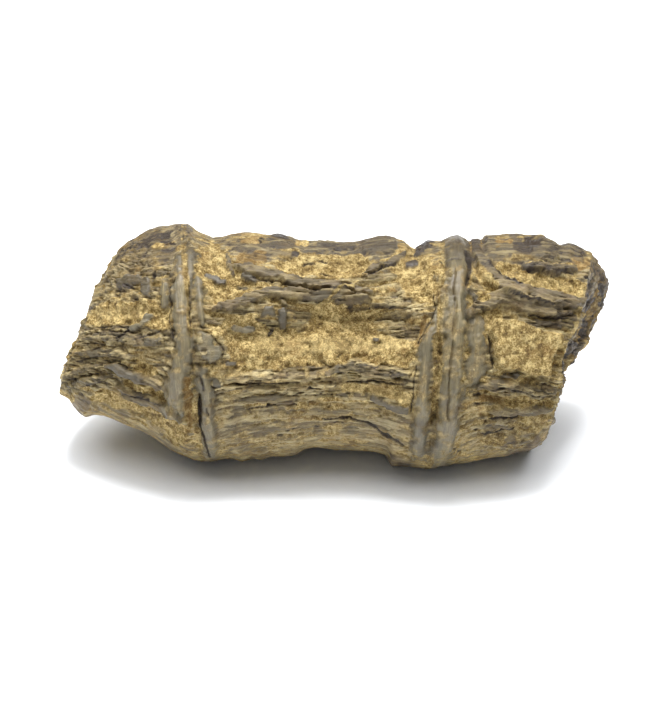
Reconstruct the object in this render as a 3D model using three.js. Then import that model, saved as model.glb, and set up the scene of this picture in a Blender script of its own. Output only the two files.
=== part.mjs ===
import * as THREE from "three";

// A piece of a fossil fish's backbone: one whole vertebra between two broken ones.
// The bone stands out as rims, struts and chips. The sand that filled its hollows has set hard,
// so each vertebra and its filling are one solid. The three meet at the seams between their rims.
// Lengths are millimetres. +X runs along the backbone, +Y points to the back and +Z points up.

// The outlines and forms are drawn on a sheet that faces the eye, which looks down a little.
// x runs along the backbone, v up the sheet, and w is the height above the sheet, towards the eye.
const eyeElevation = THREE.MathUtils.degToRad(28);
const eyeDistance = 361;
const axisHeight = 19.3; // the sheet's origin above the surface that the piece rests on
const centreShift = { x: -0.73, y: 0.24 }; // puts the middle of the piece over the part's origin
const seamGap = 0.3; // between two neighbouring solids
const pointsAround = 60;
const frontCrowding = 0.32; // how much closer the points stand at the front than at the back
const rowCrowding = 0.3; // how much closer the rings stand beside a seam
const squareness = 2.3; // 2 is a true ellipse, more is boxier

// The main dimensions, at stations that lean with the rims: x on the upper and the lower outline,
// and how far the side bulges to the front and to the back.
const stations = [
  { mid: -43.85, topX: -37.5, bottomX: -50.2, front: 11.5, back: 12.5 },
  { mid: -37.5, topX: -34.0, bottomX: -41.0, front: 16.5, back: 16.0 },
  { mid: -31.5, topX: -31.0, bottomX: -32.0, front: 19.6, back: 19.0 },
  { mid: -25.25, topX: -27.3, bottomX: -23.2, front: 21.6, back: 21.4 },
  { mid: -12.5, topX: -14.0, bottomX: -11.0, front: 20.4, back: 20.0 },
  { mid: 0.0, topX: -0.5, bottomX: 0.5, front: 19.8, back: 19.4 },
  { mid: 10.5, topX: 11.5, bottomX: 9.5, front: 20.3, back: 19.8 },
  { mid: 19.4, topX: 20.8, bottomX: 18.0, front: 22.0, back: 21.6 },
  { mid: 30.0, topX: 32.0, bottomX: 28.0, front: 20.6, back: 20.4 },
  { mid: 42.5, topX: 47.0, bottomX: 38.0, front: 17.5, back: 17.0 },
  { mid: 52.5, topX: 57.0, bottomX: 48.0, front: 14.5, back: 15.0 },
];

// The outlines: a smooth run, which shapes the whole section, and an edge, which only
// reaches the parts next to the outline.
const topRun = [[-37.5, 19.5], [-30, 21.6], [-22, 20.8], [-10, 20.8], [5, 20], [20, 20.2], [32, 20.8], [47, 18.3]];
const topEdge = [
  [-37.5, 20.1], [-34, 22], [-31, 22.9], [-28.5, 23.3], [-26, 23], [-24.5, 21.9], [-22, 20.7],
  [-19, 21.3], [-15, 21.8], [-12, 21.3], [-9.5, 21.5], [-6, 20.3], [0, 20], [2, 19.7], [5.5, 20.2],
  [9, 20.95], [13, 20.2], [15.2, 18.6], [17.2, 20], [20, 20], [23, 20.95], [25, 20.1], [27.8, 20.5],
  [28.4, 21.2], [34.5, 21.5], [38.5, 21.4], [41.8, 19.2], [44, 19.6], [47, 18.3],
];
const bottomRun = [[-50.2, -8.2], [-44, -12], [-35, -14.9], [-24, -20], [-8, -19.4], [2, -18.6], [17.5, -21.4], [28, -20], [38, -17.6]];
const bottomEdge = [
  [-50.2, -8.2], [-48, -9.6], [-45.6, -12.4], [-41, -12.3], [-35.5, -14.7], [-31, -17.5], [-27.5, -19.6],
  [-23, -20.5], [-16, -20.4], [-9, -19.7], [-6.5, -19.2], [-4, -18], [4, -18.5], [9.5, -19.1], [11.3, -21.6],
  [14.3, -21.5], [17.5, -21.9], [24, -21], [28, -20], [32, -19.6], [34, -18.8], [38, -17.6],
];

// Where two vertebrae meet: sway turns a seam's plane about the upright line, wave bends it. Then
// how far off and how high the rims beside it are.
const seams = {
  left: {
    mid: -25.1, sway: 0.3, wave: 0.35, phase: 0.6,
    before: 2.6, after: 2.2, riseBefore: 1.5, riseAfter: 1.2,
  },
  right: {
    mid: 19.2, sway: -0.9, wave: 0.35, phase: 2.1,
    before: 2.2, after: 3.2, riseBefore: 1.1, riseAfter: 1.7,
  },
};
const rimWidth = 1.6;
const rimShareInFront = 0.3; // the front rims are drawn as forms of their own
const seamDepth = 0.7;
const seamWidth = 0.9;

// Forms on the front: each path is on the sheet, half is half the width, and rise is the height.
const frontForms = [
  { name: "crest of the left vertebra", path: [[-33, 19.5], [-27.5, 21.5]], half: 4.5, rise: 0.7 },
  { name: "sand below the crest", path: [[-43, 6.3], [-34, 6.8]], half: 2.2, rise: -0.5 },
  { name: "split ledge", path: [[-45.5, 3.4], [-38, 3.2], [-32, 3]], half: 1.7, rise: 0.9 },
  { name: "upper left strut", path: [[-41.5, -2.9], [-38.5, -3.9], [-34, -5.4], [-31, -7.1], [-29.5, -8.5]], half: 1.6, rise: 1.1 },
  { name: "lower left strut", path: [[-39.5, -6.6], [-36, -8.5], [-32, -10.3], [-27.5, -12.6]], half: 1.5, rise: 1.0 },
  { name: "sand between the struts", path: [[-39, -5.3], [-35, -7], [-31, -9]], half: 1.1, rise: -0.6 },
  { name: "sand under the struts", path: [[-44, -10.3], [-38, -10.8], [-32, -13], [-28, -15.5]], half: 2, rise: -0.8 },
  { name: "blunt left tip", path: [[-49.5, -7], [-45, -5.5]], half: 2.2, rise: 0.6 },
  { name: "chipped left corner", path: [[-47, -9.6], [-45.6, -10.5]], half: 1.5, rise: -0.8 },
  { name: "left rim ridge", path: [[-27.2, 15.4], [-28.2, 12], [-28.3, 7], [-27.2, 3], [-27.4, -1], [-28.4, -5], [-28.7, -9]], half: 2.1, rise: 1.9 },
  { name: "faint ridge", path: [[-30.9, 12.5], [-31, 8]], half: 1.2, rise: 0.5 },
  { name: "smooth rim plate", path: [[-24.4, 2], [-22.6, -0.8]], half: 2.6, rise: 0.8, flat: true },
  { name: "lower left rim", path: [[-24, -4.5], [-23.3, -9], [-22.8, -14], [-22, -19]], half: 2.0, rise: 1.5 },
  { name: "rim groove", path: [[-24.7, -8.5], [-24.5, -13.5], [-23.2, -18]], half: 1.2, rise: -1.2 },
  { name: "upper strand", path: [[-18, 15.3], [-14, 14.3], [-10, 13.4], [-5, 12.2], [2, 11.6], [6, 10.8]], half: 1.7, rise: 1.1 },
  { name: "lower strand", path: [[-22, 7.2], [-17, 8.6], [-12, 10.3], [-5, 9.9], [1, 9.6], [6.5, 9.2]], half: 1.7, rise: 1.3 },
  { name: "top strut", path: [[-18, 18.7], [-12, 19.2], [-5, 19], [2, 19], [9, 19]], half: 1.8, rise: 1.0 },
  { name: "upper hollow", path: [[-8, 15.8], [0, 15.6], [5, 15.8]], half: 2.4, rise: -1.1 },
  { name: "deep side hollow", path: [[-16, 4], [-4, 4.8], [8, 4.8], [14, 3]], half: 3.8, rise: -1.6 },
  { name: "floor of the side hollow", path: [[-15, 0], [0, 0], [14, 0]], half: 4, rise: -0.5 },
  { name: "rubble of chips", path: [[-12, 7], [-9, 5.3]], half: 2.2, rise: 0.8 },
  { name: "flat chip", path: [[-18, 4.2], [-14.5, 4]], half: 1, rise: 0.6 },
  { name: "lower side strut", path: [[-19, -5.5], [-10, -6.5], [-2, -5], [4, -3.6], [9, -4.2], [14.5, -4.8]], half: 2.0, rise: 1.2 },
  { name: "crease under the strut", path: [[3, -5.9], [9, -5.9], [14, -6.4]], half: 1.0, rise: -0.6 },
  { name: "small hollow", path: [[4, -7.2], [9, -7.8], [13.3, -9]], half: 1.4, rise: -0.4 },
  { name: "short strut", path: [[7.7, -8.7], [10.5, -10.3], [13.8, -11]], half: 1.3, rise: 0.9 },
  { name: "long crease", path: [[-2, -12.6], [4.5, -13], [8, -14.5], [13.5, -17.5]], half: 1.1, rise: -0.5 },
  { name: "slanting fibres", path: [[6, 14.3], [10, 16], [14, 17.8], [17.5, 19.5]], half: 1.4, rise: 0.7 },
  { name: "right rim strip", path: [[20.5, 12.5], [20.8, 8], [19, 3.5], [17.5, 0], [17.3, -6], [16.6, -12], [16, -18]], half: 1.8, rise: 1.0 },
  { name: "sand in the right seam", path: [[19.6, 2], [19.7, -4], [19, -12]], half: 1.2, rise: -0.8 },
  { name: "broad right rim", path: [[23, 20.5], [23.2, 14], [23.3, 8], [22.5, 2], [22, -6], [21.3, -13], [19.7, -20]], half: 2.4, rise: 2.1 },
  { name: "groove beside the rim", path: [[24.9, 18], [25.5, 15], [25.2, 11]], half: 1.2, rise: -1.1 },
  { name: "upper right strut", path: [[27.2, 17.5], [28.8, 14.5], [32, 11.8], [36, 10.2], [40, 9.4], [43, 9]], half: 1.8, rise: 1.5 },
  { name: "lower right strut", path: [[27.5, 8.3], [31, 9.3], [35, 8.2], [39, 7.2], [43.5, 6.6]], half: 1.6, rise: 1.3 },
  { name: "short top strut", path: [[35.5, 15], [40, 14.8], [44.5, 14.8]], half: 1.3, rise: 1.0 },
  { name: "sand wedge", path: [[32, 14.6], [37, 12.6], [43.5, 11.6]], half: 1.7, rise: -1.1 },
  { name: "rim shoulder", path: [[26.4, 3], [26.6, -4]], half: 2.3, rise: 0.4, flat: true },
  { name: "crevice by the block", path: [[29.1, 2.6], [29.3, -3.4]], half: 1.0, rise: -1.1 },
  { name: "crevice over the block", path: [[35, 5.6], [39, 4.5], [43, 4.2]], half: 1.0, rise: -0.9 },
  { name: "bone below the block", path: [[28, -6.6], [33, -5.6], [37, -7.4], [40.6, -8]], half: 1.6, rise: 1.1 },
  { name: "lower right hollow", path: [[28, -9.3], [34, -9.6], [39.5, -10]], half: 1.3, rise: -0.9 },
  { name: "lowest right strut", path: [[29, -11.6], [33.5, -11.3], [40, -11]], half: 1.3, rise: 0.8 },
  { name: "knobs of the right crest", path: [[30, 20], [36, 19.5], [44, 18.3]], half: 2.4, rise: 0.7 },
];

// The flat block of sandstone that stands proud of the right vertebra.
const sandBlock = {
  rise: 1,
  bevel: 0.8,
  corners: [
    [28.5, 3.3], [31, 5.9], [36, 5], [39, 3.8], [42.6, 3.2], [42.2, 0.5], [40.7, -3], [40.4, -5.2],
    [36, -4.7], [33, -3.7], [30.2, -3.6], [29.9, 1.8],
  ],
};

// Forms on the back, on the same sheet.
const backForms = [
  { name: "back upper left strut", path: [[-40, 11], [-34, 13], [-29, 15]], half: 1.6, rise: 0.9 },
  { name: "back middle left strut", path: [[-44, 1], [-38, 1], [-30, 0]], half: 1.8, rise: 1 },
  { name: "back lower left strut", path: [[-43, -6], [-36, -9], [-29, -12]], half: 1.5, rise: 0.9 },
  { name: "back left hollow", path: [[-40, 6], [-31, 7]], half: 2.2, rise: -1 },
  { name: "back lower left hollow", path: [[-40, -4], [-31, -6]], half: 1.8, rise: -0.9 },
  { name: "back upper strut", path: [[-22, 15], [-10, 12.8], [4, 12.5], [18, 15.5]], half: 1.7, rise: 1.1 },
  { name: "back middle strut", path: [[-22, 1.5], [-8, 3.5], [6, 2.6], [16, 1]], half: 2, rise: 1.2 },
  { name: "back lower strut", path: [[-21, -12], [-8, -9.4], [6, -9.6], [15, -12.5]], half: 1.8, rise: 1 },
  { name: "back upper hollow", path: [[-14, 8], [0, 7.8], [12, 8.5]], half: 3, rise: -1.5 },
  { name: "back lower hollow", path: [[-14, -3.4], [0, -3.2], [11, -4.4]], half: 3.2, rise: -1.6 },
  { name: "back upper right strut", path: [[25, 14], [33, 12], [43, 11]], half: 1.6, rise: 1 },
  { name: "back middle right strut", path: [[24, 1], [33, 2], [42, 2.5]], half: 1.8, rise: 1 },
  { name: "back lower right strut", path: [[24, -11], [32, -9], [39, -9.5]], half: 1.5, rise: 0.9 },
  { name: "back right hollow", path: [[27, 7.5], [41, 6.8]], half: 2, rise: -1.1 },
  { name: "back lower right hollow", path: [[26, -4.6], [38, -3.8]], half: 2, rise: -1 },
];

// Low waves over the whole surface: wave vectors in radians per millimetre, phases and heights.
const waves = [
  { along: [0.52, 0.31, 0.22], phase: 0.4, height: 0.22 },
  { along: [-0.33, 0.61, 0.35], phase: 1.9, height: 0.2 },
  { along: [0.85, -0.42, 0.55], phase: 3.1, height: 0.14 },
  { along: [0.21, 0.74, -0.88], phase: 5.2, height: 0.14 },
];

// The broken ends. Each bulges a little. Behind the plane where w is from, the upper half of the
// right one stands out more and more, up to what out gives at a height v where w is to. In front it
// is notched in the same way.
const brokenEnds = {
  left: { mid: -43.85, bulge: 0.8, out: [[-10, 0.3], [-4, 0.6], [4, 0.5], [12, 0.4], [20, 0]], from: 20, to: 18 },
  right: {
    mid: 42.5,
    bulge: 0.4,
    out: [
      [-18, 0.3], [-4, 0.4], [-2.6, 2.2], [0.3, 3.1], [4, 4.6], [9, 5.3], [12.5, 5.6],
      [14.5, 4.6], [16.5, 2.6], [18.5, 0.6],
    ],
    from: 13,
    to: -4,
    notch: { low: -6, high: 4, depth: 1.5, from: 4, to: 13 },
  },
};
const capRings = 8;

const smooth = (from, to, value) => {
  const t = Math.min(1, Math.max(0, (value - from) / (to - from)));
  return t * t * (3 - 2 * t);
};

// The height of a polyline of [x, v] points at x.
function along(points, x) {
  const last = points.length - 1;
  if (x <= points[0][0]) return points[0][1];
  if (x >= points[last][0]) return points[last][1];
  const i = points.findIndex((p) => p[0] > x) - 1;
  const [x0, v0] = points[i];
  const [x1, v1] = points[i + 1];
  return v0 + ((v1 - v0) * (x - x0)) / (x1 - x0);
}

// The same, eased through the points.
function eased(points, x) {
  const reach = 2.5;
  return (along(points, x - reach) + 2 * along(points, x) + along(points, x + reach)) / 4;
}

// The distance from [x, v] to a path.
function distanceTo(path, x, v) {
  let least = Infinity;
  for (let i = 0; i + 1 < path.length; i++) {
    const [ax, av] = path[i];
    const [bx, bv] = path[i + 1];
    const length2 = (bx - ax) ** 2 + (bv - av) ** 2;
    const share = ((x - ax) * (bx - ax) + (v - av) * (bv - av)) / length2;
    const t = Math.min(1, Math.max(0, share));
    least = Math.min(least, Math.hypot(x - ax - t * (bx - ax), v - av - t * (bv - av)));
  }
  return least;
}

// How far [x, v] lies inside a polygon, below 0 outside it.
function depthInside(corners, x, v) {
  let inside = false;
  for (let i = 0, j = corners.length - 1; i < corners.length; j = i++) {
    const [ax, av] = corners[i];
    const [bx, bv] = corners[j];
    if (av > v !== bv > v && x < ((bx - ax) * (v - av)) / (bv - av) + ax) inside = !inside;
  }
  const edge = distanceTo([...corners, corners[0]], x, v);
  return inside ? edge : -edge;
}

// A form's height: rounded across, or flat with soft edges.
function formHeight(form, x, v) {
  const t = distanceTo(form.path, x, v) / form.half;
  if (t >= 1) return 0;
  return form.rise * (form.flat ? smooth(1, 0.6, t) : (1 - t * t) ** 2);
}

const stationValue = (mid, key) => along(stations.map((s) => [s.mid, s[key]]), mid);
const power = (value) => Math.sign(value) * Math.abs(value) ** (2 / squareness);

// A point of the plain body, on the sheet, before any form is added.
function bodyPoint(mid, angle, share = 1) {
  const topX = stationValue(mid, "topX");
  const bottomX = stationValue(mid, "bottomX");
  const up = power(Math.sin(angle));
  const out = power(Math.cos(angle));
  const top = eased(topRun, topX);
  const bottom = eased(bottomRun, bottomX);
  const edge = up > 0 ? along(topEdge, topX) - top : bottom - along(bottomEdge, bottomX);
  const reach = (share * up + 1) / 2;
  const depth = stationValue(mid, out > 0 ? "front" : "back");
  return new THREE.Vector3(
    bottomX + (topX - bottomX) * reach,
    bottom + (top - bottom) * reach + share * Math.sign(up) * edge * Math.abs(up) ** 4,
    share * depth * out,
  );
}

const seamMid = (seam, angle) =>
  seam.mid + seam.sway * Math.cos(angle) + seam.wave * Math.sin(2 * angle + seam.phase);

// How far a broken end stands out past its station at [v, w].
function breakOut(end, v, w) {
  let out = along(end.out, v) * smooth(end.from, end.to, w);
  if (end.notch) {
    const { low, high, depth, from, to } = end.notch;
    const share = Math.min(1, Math.max(0, (v - low) / (high - low)));
    out -= depth * Math.sin(Math.PI * share) * smooth(from, to, w);
  }
  return out;
}

// The station where the side ends, all round a broken end.
function endMid(end, angle) {
  const plain = bodyPoint(end.mid, angle);
  return end.mid + Math.sign(end.mid) * breakOut(end, plain.y, plain.z);
}

// What the rims and the grooves between them add at a station. The outlines hold them already.
function rimHeight(mid, angle, front) {
  const rims = Object.values(seams).reduce((sum, seam) => {
    const from = mid - seamMid(seam, angle);
    const before = seam.riseBefore * Math.exp(-(((from + seam.before) / rimWidth) ** 2));
    const after = seam.riseAfter * Math.exp(-(((from - seam.after) / rimWidth) ** 2));
    return sum + before + after - seamDepth * Math.exp(-((from / seamWidth) ** 2));
  }, 0);
  return rims * (1 - (1 - rimShareInFront) * front) * (1 - Math.abs(Math.sin(angle)) ** 8);
}

function reliefHeight(point, mid, angle) {
  const eye = eyeDistance / (eyeDistance - point.z);
  const x = point.x * eye;
  const v = point.y * eye;
  const front = smooth(-0.2, 0.2, Math.cos(angle));
  const block = smooth(0, sandBlock.bevel, depthInside(sandBlock.corners, x, v));
  const atFront = frontForms.reduce((sum, form) => sum + formHeight(form, x, v), sandBlock.rise * block);
  const atBack = backForms.reduce((sum, form) => sum + formHeight(form, point.x, point.y), 0);
  const wave = waves.reduce((sum, w) => {
    const turn = w.along[0] * point.x + w.along[1] * point.y + w.along[2] * point.z + w.phase;
    return sum + w.height * Math.sin(turn);
  }, 0);
  return front * atFront + (1 - front) * atBack + rimHeight(mid, angle, front) + wave;
}

// From the sheet to the part's own frame. Nothing reaches below the surface that it rests on.
function placed(point) {
  const c = Math.cos(eyeElevation);
  const s = Math.sin(eyeElevation);
  return new THREE.Vector3(
    point.x + centreShift.x,
    point.y * s - point.z * c + centreShift.y,
    Math.max(0, point.y * c + point.z * s + axisHeight),
  );
}

// The angles of the points in one ring: 0 faces the eye and a quarter turn is the upper outline.
const angles = Array.from({ length: pointsAround }, (_, j) => {
  const turn = (2 * Math.PI * j) / pointsAround;
  return turn - frontCrowding * Math.sin(turn);
});

// A point on the side of a vertebra, with its relief along the outward normal.
function sidePoint(midAt, j) {
  const step = 0.4;
  const angle = angles[j];
  const turn = 0.02;
  const mid = midAt(angle);
  const point = bodyPoint(mid, angle);
  const onward = bodyPoint(mid + step, angle).sub(bodyPoint(mid - step, angle));
  const round = bodyPoint(mid, angle + turn).sub(bodyPoint(mid, angle - turn));
  const normal = onward.cross(round).normalize().negate();
  return placed(point.addScaledVector(normal, reliefHeight(point, mid, angle)));
}

// A ring on a broken end, share of the way out from its middle.
function endRing(end, share) {
  const outward = Math.sign(end.mid);
  const middle = bodyPoint(end.mid, 0, 0);
  const centre = placed(middle);
  return angles.map((angle, j) => {
    const rim = sidePoint((at) => endMid(end, at), j);
    const edge = bodyPoint(end.mid, angle);
    const flat = bodyPoint(end.mid, angle, share);
    const point = centre.clone().lerp(rim, share);
    const rough = 0.35 * Math.sin(1.1 * flat.y + 0.6) * Math.sin(0.9 * flat.z + 2.2);
    const out = breakOut(end, flat.y, flat.z) - share * breakOut(end, edge.y, edge.z);
    point.x += outward * (out + end.bulge * (1 - share ** 4) + rough * smooth(1, 0.85, share));
    return point;
  });
}

// A closed solid from rings of points that run from its left to its right, with a pole at each end.
function solidOfRings(rings, leftPole, rightPole) {
  const points = [leftPole, ...rings.flat(), rightPole];
  const at = (i, j) => 1 + i * pointsAround + (j % pointsAround);
  const faces = [];
  for (let j = 0; j < pointsAround; j++) {
    faces.push(0, at(0, j), at(0, j + 1));
    for (let i = 0; i + 1 < rings.length; i++) {
      faces.push(at(i, j), at(i + 1, j), at(i + 1, j + 1));
      faces.push(at(i, j), at(i + 1, j + 1), at(i, j + 1));
    }
    faces.push(points.length - 1, at(rings.length - 1, j + 1), at(rings.length - 1, j));
  }
  const geometry = new THREE.BufferGeometry();
  const places = new Float32Array(points.flatMap((p) => [p.x, p.y, p.z]));
  geometry.setAttribute("position", new THREE.BufferAttribute(places, 3));
  geometry.setIndex(faces);
  geometry.computeVertexNormals();
  return geometry;
}

// The rings of a vertebra's side between two ends, each a function of the angle. A seam draws
// them closer: at the start, at the end, or both.
function sideRings(from, to, count, { seamAtStart, seamAtEnd }) {
  const periods = seamAtStart && seamAtEnd ? 2 : 1;
  const pull = (seamAtStart ? -rowCrowding : rowCrowding) / (Math.PI * periods);
  return Array.from({ length: count }, (_, i) => {
    const even = i / (count - 1);
    const share = even + pull * Math.sin(Math.PI * periods * even);
    const midAt = (angle) => from(angle) + (to(angle) - from(angle)) * share;
    return angles.map((_, j) => sidePoint(midAt, j));
  });
}

const averageOf = (ring) =>
  ring.reduce((sum, p) => sum.add(p), new THREE.Vector3()).divideScalar(ring.length);
const capShares = Array.from({ length: capRings }, (_, i) => (i + 1) / (capRings + 1));

function leftVertebra() {
  const start = (angle) => endMid(brokenEnds.left, angle);
  const seam = (angle) => seamMid(seams.left, angle) - seamGap / 2;
  const side = sideRings(start, seam, 15, { seamAtEnd: true });
  const cap = capShares.map((share) => endRing(brokenEnds.left, share));
  const pole = endRing(brokenEnds.left, 0)[0];
  return solidOfRings([...cap, ...side], pole, averageOf(side.at(-1)));
}

function middleVertebra() {
  const side = sideRings(
    (angle) => seamMid(seams.left, angle) + seamGap / 2,
    (angle) => seamMid(seams.right, angle) - seamGap / 2,
    32,
    { seamAtStart: true, seamAtEnd: true },
  );
  return solidOfRings(side, averageOf(side[0]), averageOf(side.at(-1)));
}

function rightVertebra() {
  const end = (angle) => endMid(brokenEnds.right, angle);
  const seam = (angle) => seamMid(seams.right, angle) + seamGap / 2;
  const side = sideRings(seam, end, 18, { seamAtStart: true });
  const cap = capShares.map((share) => endRing(brokenEnds.right, share)).reverse();
  const pole = endRing(brokenEnds.right, 0)[0];
  return solidOfRings([...side, ...cap], averageOf(side[0]), pole);
}

const fossilStone = (colour) =>
  new THREE.MeshStandardMaterial({ color: colour, roughness: 0.85, metalness: 0 });

function meshOf(name, geometry, colour) {
  const mesh = new THREE.Mesh(geometry, fossilStone(colour));
  mesh.name = name;
  return mesh;
}

const backbone = new THREE.Group();
backbone.add(meshOf("left_vertebra", leftVertebra(), "#8c7a55"));
backbone.add(meshOf("middle_vertebra", middleVertebra(), "#a08c5c"));
backbone.add(meshOf("right_vertebra", rightVertebra(), "#82745a"));

export default backbone;
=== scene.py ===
import math

import bpy
import numpy as np
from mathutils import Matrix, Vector


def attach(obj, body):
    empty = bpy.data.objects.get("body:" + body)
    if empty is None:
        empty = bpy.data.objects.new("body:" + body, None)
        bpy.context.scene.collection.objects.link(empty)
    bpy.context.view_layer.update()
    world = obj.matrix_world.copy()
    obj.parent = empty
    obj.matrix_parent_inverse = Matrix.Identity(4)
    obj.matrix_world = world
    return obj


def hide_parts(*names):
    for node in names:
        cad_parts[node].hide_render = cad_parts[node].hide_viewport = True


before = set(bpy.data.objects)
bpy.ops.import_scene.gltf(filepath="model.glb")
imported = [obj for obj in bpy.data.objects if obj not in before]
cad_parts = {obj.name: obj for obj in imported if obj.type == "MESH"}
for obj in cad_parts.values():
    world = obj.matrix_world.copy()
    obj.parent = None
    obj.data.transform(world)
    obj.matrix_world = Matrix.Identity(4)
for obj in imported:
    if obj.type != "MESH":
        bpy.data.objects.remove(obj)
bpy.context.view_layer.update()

# A run of fossil fish backbone, broken off at both ends. Lengths in the dictionaries are
# millimetres. The forms are drawn on a sheet that faces the camera: x along the backbone,
# v up the sheet, w out of it towards the camera.

mm = 0.001

sheet = {
    "elevation": math.radians(28),
    "eyeDistance": 361.0,
    "axisHeight": 19.3,          # of the sheet's origin above the table
    "shift": (-0.73, 0.24),      # puts the piece's middle over the origin
    "squareness": 2.3,
}


def toFrame(x, v, w):
    # turned by the eye's elevation e: y = v sin e - w cos e, z = v cos e + w sin e
    c, s = math.cos(sheet["elevation"]), math.sin(sheet["elevation"])
    return np.stack([
        np.asarray(x) + sheet["shift"][0],
        np.asarray(v) * s - np.asarray(w) * c + sheet["shift"][1],
        np.asarray(v) * c + np.asarray(w) * s + sheet["axisHeight"],
    ], axis=-1)


view = {
    "lens": 100.0,
    "aimAt": (0.1, -0.2),        # the point of the sheet in the middle of the picture
}

cameraData = bpy.data.cameras.new("camera")
cameraData.lens = view["lens"]
cameraData.sensor_width = 36
cameraData.clip_start = 0.01
cameraData.clip_end = 20
camera = bpy.data.objects.new("camera", cameraData)
bpy.context.scene.collection.objects.link(camera)
bpy.context.scene.camera = camera
eyePoint = toFrame(view["aimAt"][0], view["aimAt"][1], sheet["eyeDistance"]) * mm
aimPoint = toFrame(view["aimAt"][0], view["aimAt"][1], 0) * mm
camera.location = eyePoint
camera.rotation_mode = "QUATERNION"
camera.rotation_quaternion = Vector(aimPoint - eyePoint).to_track_quat("-Z", "Y")

print("camera placed")


def lattice(p, seed):
    # random numbers on the unit lattice, blended with a smooth ease between its corners
    cell = np.floor(p)
    f = p - cell
    cell = cell.astype(np.int64)
    ease = f * f * f * (f * (f * 6 - 15) + 10)
    total = np.zeros(len(p))
    for corner in range(8):
        dx, dy, dz = corner & 1, (corner >> 1) & 1, corner >> 2
        share = ((ease[:, 0] if dx else 1 - ease[:, 0])
                 * (ease[:, 1] if dy else 1 - ease[:, 1])
                 * (ease[:, 2] if dz else 1 - ease[:, 2]))
        total += share * dice(cell[:, 0] + dx, cell[:, 1] + dy, cell[:, 2] + dz, seed)
    return total * 2 - 1


def dice(i, j, k, seed):
    # whole numbers mixed by multiplying and folding, to an even spread from 0 to 1
    h = (i * 374761393 + j * 668265263 + k * 2147483647 + seed * 1274126177) & 0xFFFFFFFF
    h = ((h ^ (h >> 13)) * 1103515245) & 0xFFFFFFFF
    h = ((h ^ (h >> 16)) * 2246822519) & 0xFFFFFFFF
    h = h ^ (h >> 15)
    return h / 4294967295.0


def cloudy(p, size, seed, octaves=3, fall=0.5):
    # octaves of lattice noise, each half as large and fall times as strong as the one before,
    # over the sum of their strengths and stretched to about -1 to 1
    total, norm = np.zeros(len(p)), 0.0
    for octave in range(octaves):
        strength = fall ** octave
        total += strength * lattice(p * (2.03 ** octave / size) + 17.3 * octave, seed + octave)
        norm += strength
    return total / norm * 1.6


def crackle(p, seed):
    # a random point in each unit cell: gives the distance to the nearest one, how much farther
    # the next one is, and the nearest cell's own random number
    cell = np.floor(p).astype(np.int64)
    first = np.full(len(p), 9.0)
    second = np.full(len(p), 9.0)
    own = np.zeros(len(p))
    for step in range(27):
        c = cell + np.array([step % 3 - 1, step // 3 % 3 - 1, step // 9 - 1])
        spot = c + np.stack([dice(c[:, 0], c[:, 1], c[:, 2], seed + a) for a in (1, 2, 3)], 1)
        d = np.sqrt(((spot - p) ** 2).sum(1))
        nearer = d < first
        second = np.where(nearer, first, np.minimum(second, d))
        own = np.where(nearer, dice(c[:, 0], c[:, 1], c[:, 2], seed + 7), own)
        first = np.minimum(first, d)
    return first, second - first, own


def smooth(lo, hi, value):
    # 0 at lo and 1 at hi, along 3 t squared less 2 t cubed; lo may be the larger
    t = np.clip((value - lo) / (hi - lo), 0, 1)
    return t * t * (3 - 2 * t)


def mix(a, b, share):
    # a, and share of the way from there to b
    return a + (b - a) * share


stations = {                     # x on the upper and lower outline, bulge to front and back
    "mid": [-43.85, -37.5, -31.5, -25.25, -12.5, 0.0, 10.5, 19.4, 30.0, 42.5, 52.5],
    "topX": [-37.5, -34.0, -31.0, -27.3, -14.0, -0.5, 11.5, 20.8, 32.0, 47.0, 57.0],
    "bottomX": [-50.2, -41.0, -32.0, -23.2, -11.0, 0.5, 9.5, 18.0, 28.0, 38.0, 48.0],
    "front": [11.5, 16.5, 19.6, 21.6, 20.4, 19.8, 20.3, 22.0, 20.6, 17.5, 14.5],
    "back": [12.5, 16.0, 19.0, 21.4, 20.0, 19.4, 19.8, 21.6, 20.4, 17.0, 15.0],
}

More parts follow.
